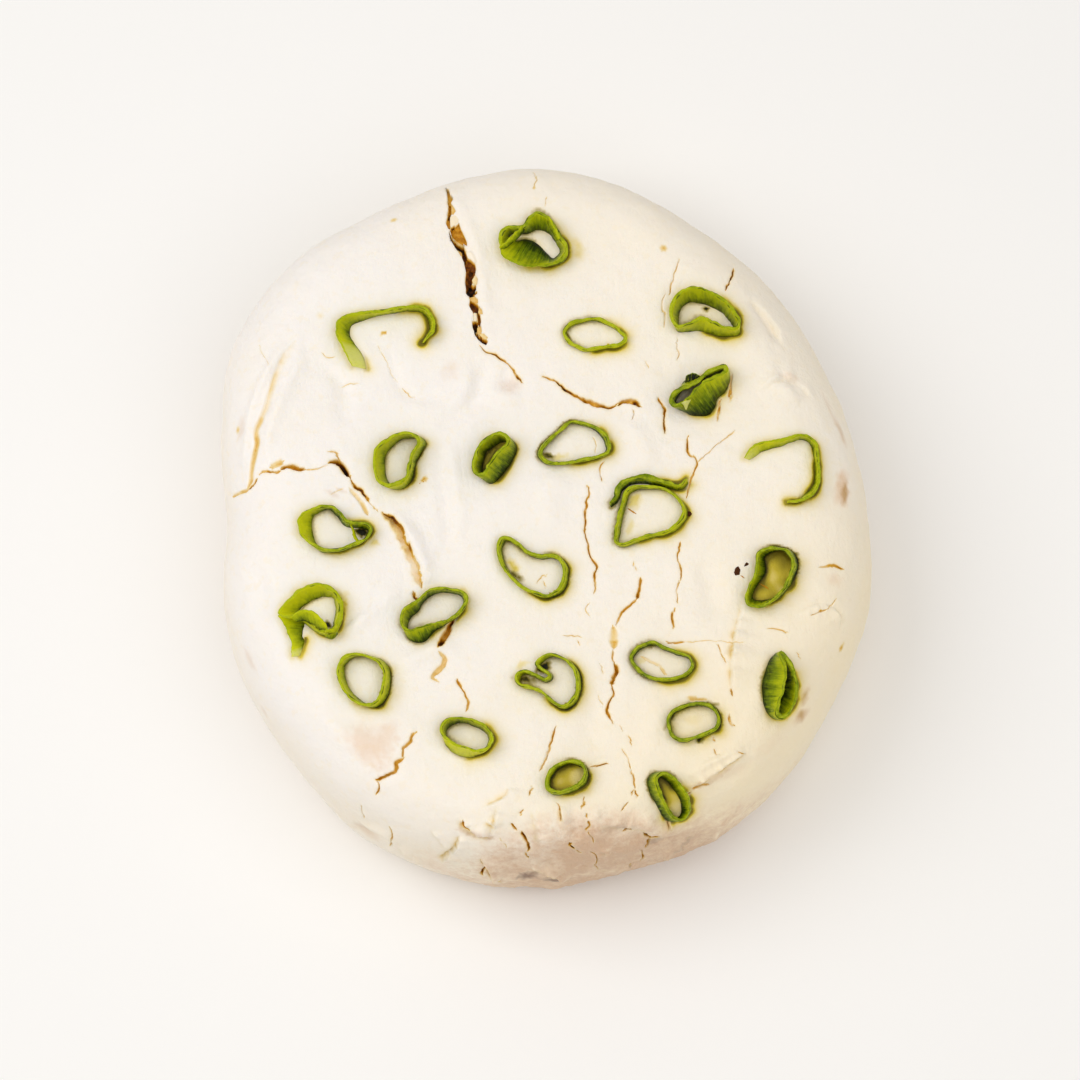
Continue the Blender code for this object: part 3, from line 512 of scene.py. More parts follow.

# Each scallion piece: name, whether it closes into a ring, height and wall in mm, yellowness along it
# (partly the leaf's own yellow, partly painted light on the sides facing the light, and below 0 painted
# shade), how much juice pooled inside it, the side where painted shadow lies in the seam at its foot (in
# degrees from the right) and how dark that shadow is, and the lines that its upper edge and its foot
# follow
SCALLIONS = (
    ("scallion_01", True, 2.6, 0.8,
     (0.1, 0.2, 0.1, 0.2, 0.5, 0.4, 0.1, -0.1, -0.15, 0.1, 0.7, 0.6, 0.3, 0.1), 0.5, (40, 0.5),
     ((524, 226), (530, 217), (538, 212), (547, 217), (553, 225), (560, 236), (566, 246), (565, 256),
      (557, 263), (544, 266), (527, 266), (511, 262), (502, 254), (500, 243), (501, 233), (508, 227),
      (516, 227)),
     ((527, 232), (532, 230), (538, 229), (545, 230), (552, 234), (557, 241), (561, 249), (560, 256),
      (554, 260), (548, 256), (538, 245), (526, 240), (517, 241), (510, 240), (507, 236), (511, 233),
      (519, 232))),
    ("scallion_02", False, 2.4, 0.58, (1.9, 1.3, 0.4, 0.6, 0.8, 0.6, 0.4, 0.5, 0.8), 0.3, (-60, 0.3),
     ((352, 366), (346, 354), (340, 342), (336, 331), (338, 321), (346, 316), (360, 313), (376, 311),
      (392, 309), (408, 307), (421, 307), (430, 313), (434, 322), (433, 331), (424, 342)),
     ((367, 369), (364, 359), (356, 347), (350, 338), (349, 330), (352, 324), (361, 320), (376, 315),
      (392, 312), (408, 310), (420, 311), (427, 316), (430, 323), (430, 331), (422, 343))),
    ("scallion_03", True, 1.3, 0.5, (0.7, 0.5, 0.7, 0.9, 0.6, 0.6, 0.8, 0.7), 0.4, (150, 0.3),
     ((564, 331), (571, 323), (581, 320), (591, 318), (602, 320), (612, 325), (620, 331), (625, 338),
      (619, 344), (605, 346), (587, 349), (577, 346), (568, 340)), (1, 2)),
    ("scallion_04", True, 3.2, 0.62, (0.6, 0.5, 0.4, 0.3, 0.4, 0.5, 0.6, 0.6, 0.5, 0.6), 0.3, (-40, 0.2),
     ((671, 316), (672, 304), (678, 294), (688, 288), (700, 288), (712, 292), (724, 300), (734, 310),
      (739, 321), (735, 328), (722, 326), (709, 320), (700, 318), (690, 323), (678, 326)),
     ((677, 321), (678, 311), (683, 304), (692, 301), (702, 303), (712, 306), (722, 311), (729, 318),
      (735, 327), (738, 333), (724, 336), (709, 332), (697, 329), (686, 331), (678, 330))),
    ("scallion_05", True, 4.2, 0.8, (0.0, 0.0, 0.1, 0.2, 0.4, 0.3, -0.1, -0.3, -0.1), 0.2, (0, 0.1),
     ((671, 401), (674, 394), (681, 389), (690, 386), (698, 381), (705, 374), (714, 369), (724, 366),
      (725, 371), (715, 376), (706, 380), (698, 387), (691, 394), (683, 402), (675, 405)),
     ((674, 403), (676, 396), (681, 389), (688, 381), (697, 380), (707, 376), (717, 372), (725, 370),
      (728, 380), (724, 391), (716, 398), (713, 409), (706, 415), (694, 414), (682, 409))),
    ("scallion_06", True, 3.0, 0.58, (0.8, 0.7, 0.7, 0.5, 0.3, 0.2, 0.2, 0.5, 0.8, 0.8), 0.5, (-20, 0.9),
     ((374, 467), (374, 453), (382, 443), (394, 435), (406, 433), (416, 436), (418, 443), (413, 453),
      (409, 466), (406, 477), (397, 483), (387, 485), (378, 480)),
     ((384, 467), (385, 455), (391, 446), (400, 439), (409, 437), (419, 438), (425, 444), (419, 454),
      (413, 467), (411, 479), (402, 487), (392, 487), (386, 480))),
    ("scallion_07", True, 3.6, 0.66, (0.2, 0.2, 0.2, 0.1, 0.2, 0.1, 0.0, 0.1, 0.2), 0.8, (-10, 0.8),
     ((473, 467), (475, 456), (480, 446), (488, 437), (498, 433), (507, 437), (507, 444), (500, 450),
      (493, 458), (488, 466), (484, 473), (477, 474)),
     ((481, 470), (482, 459), (487, 450), (494, 445), (502, 441), (510, 441), (515, 448), (512, 458),
      (506, 468), (500, 476), (492, 482), (484, 478))),
    ("scallion_08", True, 1.5, 0.56, (0.0, 0.1, 0.2, 0.1, 0.0, 0.1, 0.1, 0.2, 0.1, 0.0), 0.3, (140, 0.9),
     ((541, 455), (544, 446), (553, 437), (562, 429), (571, 422), (583, 423), (595, 427), (603, 433),
      (608, 441), (609, 450), (603, 455), (590, 458), (575, 461), (560, 463), (549, 462)), (-2, 1)),
    ("scallion_09", True, 1.8, 0.52, (0.5, 0.3, 0.5, 0.5, 0.6, 0.5, 0.3, 0.5, 0.6, 0.4, 0.4), 0.35,
     (180, 0.5),
     ((623, 500), (626, 491), (634, 487), (645, 486), (657, 487), (667, 490), (676, 497), (682, 505),
      (683, 513), (678, 522), (670, 529), (658, 533), (646, 536), (634, 540), (622, 544), (615, 541),
      (616, 531), (618, 520), (620, 510)), (3, 2)),
    ("scallion_09_outer_leaf", False, 1.6, 0.9, (0.0, -0.2, -0.2, -0.1, 0.1, 0.5), 0.2, (-90, 0.9),
     ((610, 503), (616, 496), (618, 488), (625, 481), (635, 478), (645, 477), (655, 479), (666, 482),
      (676, 485), (682, 484), (687, 479)), (1, 4)),
    ("scallion_10", False, 2.0, 0.52, (1.4, 1.0, 0.8, 0.6, 0.5, 0.5, 0.4, 0.4, 0.7), 0.3, (-80, 0.4),
     ((744, 458), (749, 450), (757, 444), (768, 441), (780, 440), (791, 437), (802, 435), (811, 438),
      (817, 445), (818, 456), (819, 468), (819, 480), (816, 490), (808, 497), (798, 501), (787, 501)),
     ((749, 460), (755, 456), (761, 451), (770, 449), (781, 445), (791, 441), (801, 439), (809, 442),
      (813, 448), (815, 457), (816, 468), (816, 480), (813, 488), (806, 495), (798, 501), (787, 503))),
    ("scallion_11", True, 2.2, 0.54,
     (1.0, 1.0, 0.9, 0.3, 0.0, 0.0, 0.1, 0.0, 0.0, 0.1, 0.1, 0.0, 0.1, 0.6, 1.0), 0.3, (-45, 0.3),
     ((300, 533), (299, 521), (303, 513), (312, 509), (322, 506), (332, 507), (340, 513), (347, 521),
      (357, 523), (367, 524), (371, 530), (366, 538), (356, 543), (344, 548), (331, 550), (319, 548),
      (308, 541)),
     ((313, 537), (311, 525), (313, 516), (318, 512), (324, 509), (331, 509), (338, 516), (346, 525),
      (357, 527), (366, 528), (369, 532), (364, 540), (355, 545), (344, 549), (333, 551), (323, 551),
      (316, 545))),
    ("scallion_12", True, 1.8, 0.56, (0.4, 0.3, 0.5, 0.2, 0.2, 0.4, 0.3, 0.2, 0.3, 0.6, 0.5, 0.4), 0.5,
     (-10, 0.8),
     ((499, 556), (498, 546), (502, 538), (511, 539), (520, 546), (529, 553), (540, 556), (551, 555),
      (560, 560), (564, 569), (563, 580), (557, 590), (545, 595), (533, 592), (521, 586), (511, 577),
      (503, 567)), (3, 2)),
    ("scallion_13", True, 2.6, 0.6, (-0.1, 0.0, 0.0, -0.1, 0.0, -0.1, 0.0, 0.0, 0.1, 0.0, -0.1), 1.0,
     (45, 1.0),
     ((757, 562), (758, 554), (766, 549), (776, 548), (786, 551), (792, 560), (791, 572), (786, 584),
      (778, 595), (768, 603), (757, 607), (748, 604), (746, 596), (750, 585), (755, 574)),
     ((764, 564), (763, 557), (769, 552), (779, 549), (790, 552), (796, 562), (794, 574), (789, 585),
      (780, 596), (769, 601), (758, 602), (752, 599), (752, 593), (757, 584), (764, 573))),
    ("scallion_14", True, 2.4, 0.8,
     (1.0, 1.0, 1.0, 0.9, 0.8, 0.9, 1.0, 1.0, 0.8, 0.6, 0.5, 0.8, 1.0, 1.0), 0.5, (0, 0.3),
     ((278, 613), (285, 603), (295, 593), (306, 586), (318, 584), (329, 587), (337, 594), (341, 605),
      (340, 618), (336, 629), (328, 632), (318, 627), (309, 620), (300, 615), (288, 617)),
     ((299, 611), (301, 607), (306, 603), (313, 599), (321, 596), (329, 595), (335, 598), (338, 607),
      (337, 619), (334, 629), (327, 634), (317, 630), (308, 624), (302, 617), (300, 614))),
    ("scallion_14_tail", False, 1.2, 0.7, (0.7, 0.3, 0.5, 1.8), 0.2, (0, 0.2),
     ((278, 615), (284, 624), (289, 636), (291, 646), (291, 657)),
     ((311, 621), (304, 627), (302, 636), (304, 642), (300, 656))),
    ("scallion_15", True, 2.5, 0.54, (0.3, 0.1, 0.0, 0.1, 0.1, 0.2, 0.1, 0.0, 0.0, 0.1, 0.3), 0.4,
     (-110, 0.5),
     ((401, 621), (403, 610), (411, 604), (419, 599), (427, 591), (438, 588), (450, 589), (461, 591),
      (466, 599), (462, 609), (453, 617), (442, 622), (430, 624), (419, 627), (410, 630), (404, 627)),
     ((407, 624), (411, 616), (417, 611), (421, 604), (428, 597), (438, 592), (449, 592), (460, 594),
      (465, 600), (462, 610), (454, 618), (443, 625), (433, 632), (425, 641), (416, 642), (408, 636))),
    ("scallion_16", True, 2.5, 0.52, (0.9, 0.7, 0.7, 0.6, 0.7, 0.6, 0.4, 0.5, 0.9, 0.9), 0.35, (-20, 0.9),
     ((338, 676), (338, 666), (344, 657), (354, 654), (366, 656), (377, 661), (383, 671), (383, 683),
      (380, 695), (372, 704), (361, 704), (350, 697), (342, 687)), (6, 1)),
    ("scallion_17", True, 2.8, 0.5, (0.6, 0.2, 0.1, 0.3, 0.5, 0.6, 1.0, 1.1, 1.15, 1.0, 0.7), 0.4,
     (-80, 0.3),
     ((441, 731), (443, 723), (451, 718), (463, 718), (475, 721), (486, 727), (492, 736), (489, 746),
      (479, 751), (467, 748), (456, 744), (447, 738)),
     ((445, 736), (446, 729), (453, 724), (463, 722), (474, 725), (484, 730), (490, 738), (487, 748),
      (479, 753), (468, 757), (456, 753), (447, 745))),
    ("scallion_18", True, 2.0, 0.52,
     (0.7, 0.4, 0.2, 0.4, 0.5, 0.2, 0.3, 0.3, 0.4, 0.3, 0.3, 0.5, 0.6, 0.7), 0.5, (-20, 0.9),
     ((516, 680), (518, 673), (526, 671), (535, 675), (544, 679), (549, 675), (542, 669), (536, 664),
      (541, 658), (550, 654), (561, 657), (570, 664), (576, 674), (577, 686), (573, 698), (563, 706),
      (553, 702), (543, 693), (531, 687), (521, 685)), (3, 2)),
    ("scallion_19", True, 1.6, 0.54, (-0.1, 0.0, -0.1, 0.0, 0.0, 0.1, -0.1, -0.1), 0.25, (180, 0.6),
     ((631, 658), (636, 649), (645, 644), (654, 642), (664, 647), (676, 652), (688, 656), (692, 664),
      (688, 672), (677, 677), (663, 679), (649, 676), (638, 669)), (1, 2)),
    ("scallion_20", True, 1.6, 0.54, (0.0, 0.0, -0.1, 0.0, 0.0, -0.1, 0.0, 0.1, 0.0), 0.55, (40, 0.9),
     ((668, 721), (672, 712), (681, 707), (692, 704), (704, 704), (714, 709), (718, 718), (716, 727),
      (706, 733), (694, 737), (682, 740), (672, 735)), (1, 1)),
    ("scallion_21", True, 4.2, 0.9, (0.0, -0.2, -0.2, 0.0, 0.1, 0.1, 0.0, 0.1, 0.1, 0.1, 0.0), 0.9,
     (170, 0.6),
     ((781, 653), (788, 660), (794, 672), (797, 686), (796, 700), (790, 712), (782, 717), (777, 713),
      (779, 703), (783, 692), (786, 680), (786, 669), (783, 660)),
     ((779, 655), (783, 664), (785, 674), (785, 684), (783, 694), (779, 704), (777, 716), (770, 713),
      (765, 704), (763, 692), (764, 680), (768, 668), (773, 659))),
    ("scallion_22", True, 2.4, 0.62, (0.1, 0.1, 0.2, 0.1, 0.0, 0.0, 0.1, 0.1), 0.9, (30, 0.9),
     ((547, 779), (552, 769), (561, 763), (572, 761), (582, 765), (585, 774), (580, 783), (569, 789),
      (556, 792), (548, 788)), (2, 2)),
    ("scallion_23", True, 3.0, 0.62, (0.1, 0.1, 0.1, 0.0, -0.1, -0.1, 0.1, 0.1), 0.9, (130, 0.7),
     ((657, 778), (664, 773), (673, 777), (682, 787), (689, 799), (690, 811), (684, 819), (675, 818),
      (668, 808), (662, 797), (658, 787)), (-8, 1)),
)

# Folded bits that belong to a slice: its name, the heights in mm of the bit's two edges, its wall and
# yellowness (below 0 painted shade), and the places that the two edges run through
FOLDED_BITS = (
    ("scallion_01", (3.0, 2.2), 0.4, (0.1, 0.4, 0.5),
     ((521, 226), (516, 232), (510, 238), (504, 243), (499, 247)),
     ((525, 230), (519, 237), (513, 242), (507, 247), (501, 251))),
    ("scallion_01", (3.1, 2.4), 0.4, 0.4, ((549, 217), (553, 223), (557, 230), (560, 238)),
     ((547, 220), (549, 226), (553, 233), (557, 241))),
    ("scallion_05", (3.2, 2.4), 0.5, -1.6, ((686, 376), (692, 373), (699, 375), (705, 377)),
     ((684, 388), (690, 387), (697, 384), (703, 381))),
    ("scallion_05", (4.6, 3.6), 0.3, 1.5, ((681, 403), (686, 401), (691, 399)),
     ((684, 405), (686, 410), (688, 405))),
    ("scallion_11", (2.0, 1.4), 0.3, 1.0, ((349, 523), (352, 530), (353, 536), (357, 542)),
     ((351, 524), (354, 530), (356, 536), (359, 541))),
    ("scallion_14", (3.4, 2.2), 0.5, (0.3, 0.3, 0.5, 0.6, 0.5),
     ((289, 617), (300, 610), (310, 611), (319, 616), (326, 623)),
     ((297, 622), (305, 621), (313, 626), (321, 631), (330, 635))),
    ("scallion_14", (3.2, 1.2), 0.5, 0.5, ((325, 630), (332, 627), (338, 624)),
     ((325, 637), (332, 639), (338, 634))),
)

# Each loose crumb: place, length, width and height in mm, turn in degrees, and kind
CRUMBS = (
    ((738, 571), 2.3, 1.7, 1.5, 70, "brown"),
    ((747, 563), 2.6, 1.0, 1.1, 38, "brown"),
    ((742, 576), 1.3, 0.5, 0.6, -40, "ochre"),
    ((689, 514), 1.5, 1.1, 0.7, 20, "brown"),
    ((424, 480), 1.9, 1.4, 1.0, 30, "ochre"),
    ((420, 484), 0.8, 0.6, 0.5, 70, "ochre"),
    ((632, 511), 2.2, 0.4, 0.4, -30, "ochre"),
    ((764, 586), 2.2, 0.4, 0.4, -35, "ochre"),
    ((700, 740), 1.0, 0.7, 0.5, 10, "brown"),
    ((475, 317), 1.6, 1.0, 0.7, -80, "white"),
    ((353, 535), 1.3, 0.8, 0.9, -60, "white"),
)


def srgb(red, green, blue):
    """A colour read from the picture, as the linear values that Blender mixes."""
    shares = (value / 255 for value in (red, green, blue))
    return tuple(v / 12.92 if v <= 0.04045 else ((v + 0.055) / 1.055) ** 2.4 for v in shares)


def tint(name, description, red, green, blue):
    return FloatVectorProperty(name=name, description=description, subtype="COLOR", size=3, min=0, max=1,
                               default=srgb(red, green, blue))


def length(name, description, millimetres):
    return FloatProperty(name=name, description=description, unit="LENGTH", min=0, precision=5,
                         default=millimetres * MM)


def amount(name, description, default, **limits):
    return FloatProperty(name=name, description=description, default=default, min=0, **limits)


class CheeseLook(bpy.types.PropertyGroup):
    """Sizes and colours of the cheese."""

    raggedness: length("Raggedness", "How far a crack wanders from its line", 0.19)
    crumble: length("Crumble", "Roughness of the dry skin low on the front", 0.5)
    flakes: amount("Flakes", "How boldly one layer of skin laps over the next", 2.0, max=3)
    folds: amount("Folds", "How boldly the soft folds stand", 2.1, max=3)
    grain: amount("Grain", "Strength of the skin's fine bumps", 0.8, max=1)
    cream: tint("Cream", "The moist skin of the top", 252, 244, 238)
    # Painted warm shade: the white turns to this on the skin turned from the light and down the side
    rim: tint("Rim", "The drier skin towards the right and the foot", 252, 234, 202)
    # Partly dry skin, partly painted shade of the front, which turns down from the light
    dry: tint("Dry", "Dry tan skin low on the front", 220, 187, 156)
    # Painted shadow under the flakes of the dry skin
    smudge: tint("Smudge", "Grey-brown smudges under the dry skin", 138, 110, 92)
    # Partly tan marks, partly painted shadow beside flakes
    tan: tint("Tan", "Tan marks towards the rim", 192, 148, 84)
    blush: tint("Blush", "Pinkish patches", 228, 196, 160)
    # Juice stain colour, also laid as painted shadow on the side of each slice away from the light
    whey: tint("Whey", "Juice that the scallions leave on the cheese", 228, 204, 30)
    # Painted shadow with the juice: the dark olive where the pool lies behind a slice's wall from the
    # light
    pooled: tint("Pooled juice", "Juice where it stands deep inside a slice", 116, 102, 14)
    # Painted shadow in the seam under a slice's wall
    gloom: tint("Gloom", "The dark seam under a slice's wall", 28, 26, 3)


class ScallionLook(bpy.types.PropertyGroup):
    """Sizes and colours of the scallion slices."""

    sink: length("Sink", "How far a slice settles into the cheese", 0.12)
    vein: length("Vein", "Height of the leaf's veins", 0.03)
    wobble: length("Wobble", "How unevenly a slice's wall runs", 0.07)
    # Up each wall the face runs from deep through old and leaf to young, painting shade low down and light
    # towards the cut edge
    leaf: tint("Leaf", "The leaf between its veins", 108, 128, 2)
    young: tint("Young leaf", "Thin yellow-green leaf near a cut edge", 172, 180, 6)
    gold: tint("Golden leaf", "The yellowest leaf", 208, 209, 20)
    old: tint("Old leaf", "The darkest green leaf", 38, 58, 0)
    # Painted shade: the near black green low on a wall, where it meets the cheese
    deep: tint("Deep green", "The leaf low down, between wall and cheese", 16, 18, 0)
    core: tint("Core", "Moist tissue in the middle of a cut edge", 182, 190, 40)
    pale: tint("Pale leaf", "Pale speckled leaf at a few tips", 218, 218, 128)
    # The cut edge's dark lines are the leaf's darker skin, with painted shade where the wall turns down
    skin: tint("Skin", "Dark line along each side of a cut edge", 52, 70, 2)


class StageLook(bpy.types.PropertyGroup):
    """Floor and lights."""

    floor: tint("Floor", "Plain pale floor", 248, 247, 245)
    key_power: amount("Key light", "Power of the soft light on the left", 4.1, unit="POWER")
    fill_power: amount("Fill light", "Power of the broad light above the front right", 3.8, unit="POWER")
    sky: amount("Sky", "Strength of the light from all round", 0.5)


def spline(before, start, end, after, part):
    """A Catmull-Rom curve from start to end, at parts between 0 and 1."""
    return start + 0.5 * part * (end - before + part * (
        2 * before - 5 * start + 4 * end - after + part * (3 * (start - end) + after - before)))


def between(values, angle):
    """Values at angles, of a list spread evenly round the circle and joined smoothly."""
    place = angle / math.tau % 1.0 * len(values)
    first = np.floor(place).astype(int)
    knots = [np.take(values, first + k, mode="wrap") for k in (-1, 0, 1, 2)]
    return spline(*knots, place - first)


def unit(vectors):
    """The same directions, each of length 1."""
    return vectors / np.linalg.norm(vectors, axis=1)[:, None]


def bend_lengths(angle):
    """Width of the rounded edge, then lengths of the flat top, that edge and the foot."""
    edge = between(EDGE_WIDTHS, angle)
    flat = between(OUTLINE_RADII, angle) - edge
    upper = BEND_RATIO * (edge + WHEEL_HEIGHT - WAIST_HEIGHT)
    lower = BEND_RATIO * (FOOT_INSET + WAIST_HEIGHT)
    return edge, flat, upper, lower


def sheet_radius(angle):
    """How far the unrolled skin reaches from its middle."""
    _edge, flat, upper, lower = bend_lengths(angle)
    return flat + upper + lower


def rough(points, scales):
    """Sum of noises at points, from (height, length) pairs."""
    return np.array([sum(height * noise.noise(Vector(point / size)) for height, size in scales)
                     for point in points])


def wheel(places):
    """Points and normals of the wheel at unrolled places, before any crack or fold."""
    angle = np.arctan2(places[:, 1], places[:, 0])
    run = np.hypot(places[:, 0], places[:, 1])
    edge, flat, upper, lower = bend_lengths(angle)
    high = np.clip((run - flat) / upper, 0, 1) * math.pi / 2
    low = np.clip((run - flat - upper) / lower, 0, 1) * math.pi / 2
    radius = (np.minimum(run, flat) + edge * np.sin(high) ** (2 / EDGE_POWER)
              - FOOT_INSET * (1 - np.cos(low) ** (2 / FOOT_POWER)))
    height = (WAIST_HEIGHT + (WHEEL_HEIGHT - WAIST_HEIGHT) * np.cos(high) ** (2 / EDGE_POWER)
              - WAIST_HEIGHT * np.sin(low) ** (2 / FOOT_POWER))
    out = np.sin(high) * np.cos(low)
    normals = np.column_stack((out * np.cos(angle), out * np.sin(angle), np.cos(high) - np.sin(low)))
    points = np.column_stack((radius * np.cos(angle), radius * np.sin(angle), height))
    return points + normals * (rough(points, LUMPS) * np.cos(low))[:, None], normals


def picture_of(points):
    """Where points show in the picture, in pixels."""
    away = points - np.array(VIEW_AIM)
    up = away[:, 1] * math.sin(VIEW_ANGLE) + away[:, 2] * math.cos(VIEW_ANGLE)
    near = away[:, 2] * math.sin(VIEW_ANGLE) - away[:, 1] * math.cos(VIEW_ANGLE)
    scale = VIEW_DISTANCE / (VIEW_DISTANCE - near) / PIXEL
    return np.column_stack((PICTURE_CENTRE[0] + away[:, 0] * scale, PICTURE_CENTRE[1] - up * scale))


def on_cheese(pixels, lift=0.0):
    """The unrolled places whose skin, lifted by a height, shows at pixels of the picture."""
    pixels = np.array(pixels, float)
    places = (pixels - PICTURE_CENTRE) * (PIXEL, -PIXEL) + (VIEW_AIM.x, VIEW_AIM.y)
    for _ in range(SEARCH_ROUNDS):
        points, normals = wheel(places)
        miss = (pixels - picture_of(points + (0, 0, lift))) * (PIXEL, -PIXEL)
        hidden = normals @ TO_VIEWER < LEAST_FACING
        places = np.where(hidden[:, None], places * STEP_BACK, places + miss)
    return places


def smooth_line(points, closed, steps):
    """A smooth line through points, with a number of steps between each two."""
    points = np.array(points, float)
    count = len(points)
    spans = count if closed else count - 1
    parts = np.arange(steps)[:, None] / steps
    line = []
    for k in range(spans):
        ids = [(k + j) % count if closed else min(max(k + j, 0), count - 1) for j in (-1, 0, 1, 2)]
        line.append(spline(*points[ids][:, None], parts))
    return np.concatenate(line if closed else line + [points[-1:]])


def even_steps(line, step, closed=False):
    """The same line with its points about one step apart."""
    if closed:
        line = np.concatenate((line, line[:1]))
    travel = np.concatenate(((0,), np.cumsum(np.linalg.norm(np.diff(line, axis=0), axis=1))))
    count = max(2, round(travel[-1] / step))
    wanted = np.linspace(0, travel[-1], count + 1)
    even = np.column_stack([np.interp(wanted, travel, axis) for axis in line.T])
    return even[:-1] if closed else even


def sheet_line(pixels, steps, step):
    """A smooth line through pixels, laid on the sheet with its points about one step apart."""
    return even_steps(smooth_line(on_cheese(pixels), False, steps), step)


def from_end(count):
    """How many places each of count places on a line stands from its nearer end."""
    return np.minimum(np.arange(count), np.arange(count)[::-1])


def fade(gap, reach, power=1):
    """From 1 at no gap to almost nothing a few reaches away."""
    return np.exp(-(gap / reach) ** power)


def eased_ends(where, line, steepness):
    """From 1 along a line to 0 at its two ends, at places on it."""
    ends = np.minimum(where, len(line) - 1 - where) / (len(line) - 1)
    return np.clip(ends * steepness, 0, 1) ** 0.7


def wander(count, step, size, seed):
    """A random line of heights about 1 high that turns every size, one for each of count steps."""
    return np.array([noise.noise(Vector((k * step / size, seed, 0.37))) for k in range(count)]) * 2


def jagged(count, step, size, seed):
    """A random line of heights up to 1 high that turns sharply about every size, for count steps."""
    draws = np.random.default_rng(seed)
    knots = max(3, round(count * step / size))
    turns = np.concatenate(((0,), np.sort(draws.uniform(0, 1, knots)), (1,)))
    return np.interp(np.linspace(0, 1, count), turns, draws.uniform(-1, 1, knots + 2))


def spread(values, count):
    """One value, or several spread evenly along a line, for each of count places on it."""
    values = np.atleast_1d(values)
    return np.interp(np.linspace(0, 1, count), np.linspace(0, 1, len(values)), values)


def crack_lines(table, raggedness, smooth=False):
    """Each crack as a ragged line on the sheet, with its two half widths and its other values."""
    cracks = []
    for seed, (width, depth, tone, pixels, *slant) in enumerate(table):
        line = sheet_line(pixels, 8, FINE)
        count = len(line)
        along = unit(np.gradient(line, axis=0))
        across = np.column_stack((-along[:, 1], along[:, 0]))
        broad, small = SWAY_SIZES
        sway = jagged(count, FINE, broad, seed) + 0.6 * jagged(count, FINE, small, seed + 300)
        line = line + across * (raggedness * sway)[:, None]
        taper = np.clip(from_end(count) / count * 9 + 0.3, 0, 1)
        width = spread(width, count) * MM
        uneven = 3.2 * raggedness / MM * np.clip(0.6 * MM / width, 0.25, 1)
        ragged = [jagged(count, FINE, BREAK_SIZE, seed + 200 * side) for side in (1, 2)]
        halves = [width / 2 * taper * np.clip(0.85 + uneven * lip, 0.2, 1.6) for lip in ragged]
        shallow = SHALLOW + (1 - SHALLOW) * np.clip((width - HAIRLINE) / HAIRLINE, 0, 1)
        shallow = shallow * np.clip(spread(tone, count) / FAINT, 0.15, 1)
        deepness = depth * MM * taper * (1 + 0.25 * wander(count, FINE, 1.5 * MM, seed + 600)) * shallow
        patchy = jagged(count, FINE, 1.2 * MM, seed + 900) * np.where(width < HAIRLINE, 0.8, 0.45)
        darkness = spread(tone, count) * np.clip(1 + patchy, 0.25, 1.4)
        cracks.append({
            "line": line, "across": across, "halves": halves, "depth": deepness, "tone": darkness,
            "slant": slant[0] if slant else 0, "width": width.max(), "smooth": smooth})
    return cracks


def near_line(places, line, reach):
    """Which places are within reach of a line, how far each is, its side and how far along it stands."""
    inside = np.all((places > line.min(0) - reach) & (places < line.max(0) + reach), axis=1)
    chosen = np.flatnonzero(inside)
    if not len(chosen):
        return chosen, np.zeros(0), np.zeros(0), np.zeros(0)
    start, step = line[:-1], np.diff(line, axis=0)
    offset = places[chosen][:, None] - start
    part = np.clip((offset * step).sum(2) / (step ** 2).sum(1), 0, 1)
    gaps = np.linalg.norm(offset - part[..., None] * step, axis=2)
    best = gaps.argmin(1)
    rows = np.arange(len(chosen))
    side = np.sign(step[best, 0] * offset[rows, best, 1] - step[best, 1] * offset[rows, best, 0])
    keep = gaps[rows, best] < reach
    return chosen[keep], gaps[rows, best][keep], side[keep], (best + part[rows, best])[keep]


def cut_cracks(places, cracks):
    """How deep the cracks cut the skin at places, and how dark they are there: ochre, with painted shade
    deeper in.
    """
    depth, tone = np.zeros(len(places)), np.zeros(len(places))
    for crack in cracks:
        ids, gap, side, where = near_line(places, crack["line"], crack["width"] + CRACK_REACH)
        ticks = np.arange(len(crack["line"]))
        left, right = (np.interp(where, ticks, half) for half in crack["halves"])
        half = np.where(side > 0, left, right)
        share = np.clip(gap / half, 0, 1)
        bowl = 1 - share ** 4
        slope = (1 - side * share) / 2
        slope = slope if crack["slant"] >= 0 else 1 - slope
        ramp = slope ** 1.3 * np.clip((1 - slope) * 9, 0, 1)
        lean = abs(crack["slant"])
        inside = share < 1
        beyond = np.clip(gap - half, 0, None)
        profile = np.where(inside, bowl * (1 - lean) + np.minimum(bowl * 2, ramp * 1.25) * lean, 0)
        lip = 0.12 * fade(beyond, LIP_REACH) * ~inside
        seam = 0.22 + 0.78 * np.clip((slope - 0.72) / 0.18, 0, 1)
        stain = np.where(inside, bowl * (1 - lean) + seam * lean, 0.24 * fade(beyond, STAIN_REACH))
        if crack["smooth"]:
            dip = np.cos(share * math.pi / 2) ** 2
            profile = np.where(inside, dip * (1 - lean) + 1.3 * slope ** 2 * (1 - slope ** 9) * lean, 0)
            lip = 0
            stain = profile
        np.maximum.at(depth, ids, np.interp(where, ticks, crack["depth"]) * (profile + lip))
        np.maximum.at(tone, ids, np.interp(where, ticks, crack["tone"]) * np.clip(stain, 0, 1))
    return depth, tone


def facet_outline(pixels):
    """The outline of a facet on the sheet."""
    return even_steps(on_cheese(pixels), FINE / 2, True)


def sink_facets(places, depth, tone):
    """Sinks and darkens the facets of the widest crack's floor, the deeper ones with painted shade."""
    for sunk, dark, pixels in FACETS:
        outline = facet_outline(pixels)
        near = np.flatnonzero(np.all((places > outline.min(0)) & (places < outline.max(0)), axis=1))
        near = near[inside_of(places[near], outline)]
        depth[near], tone[near] = sunk * MM, dark


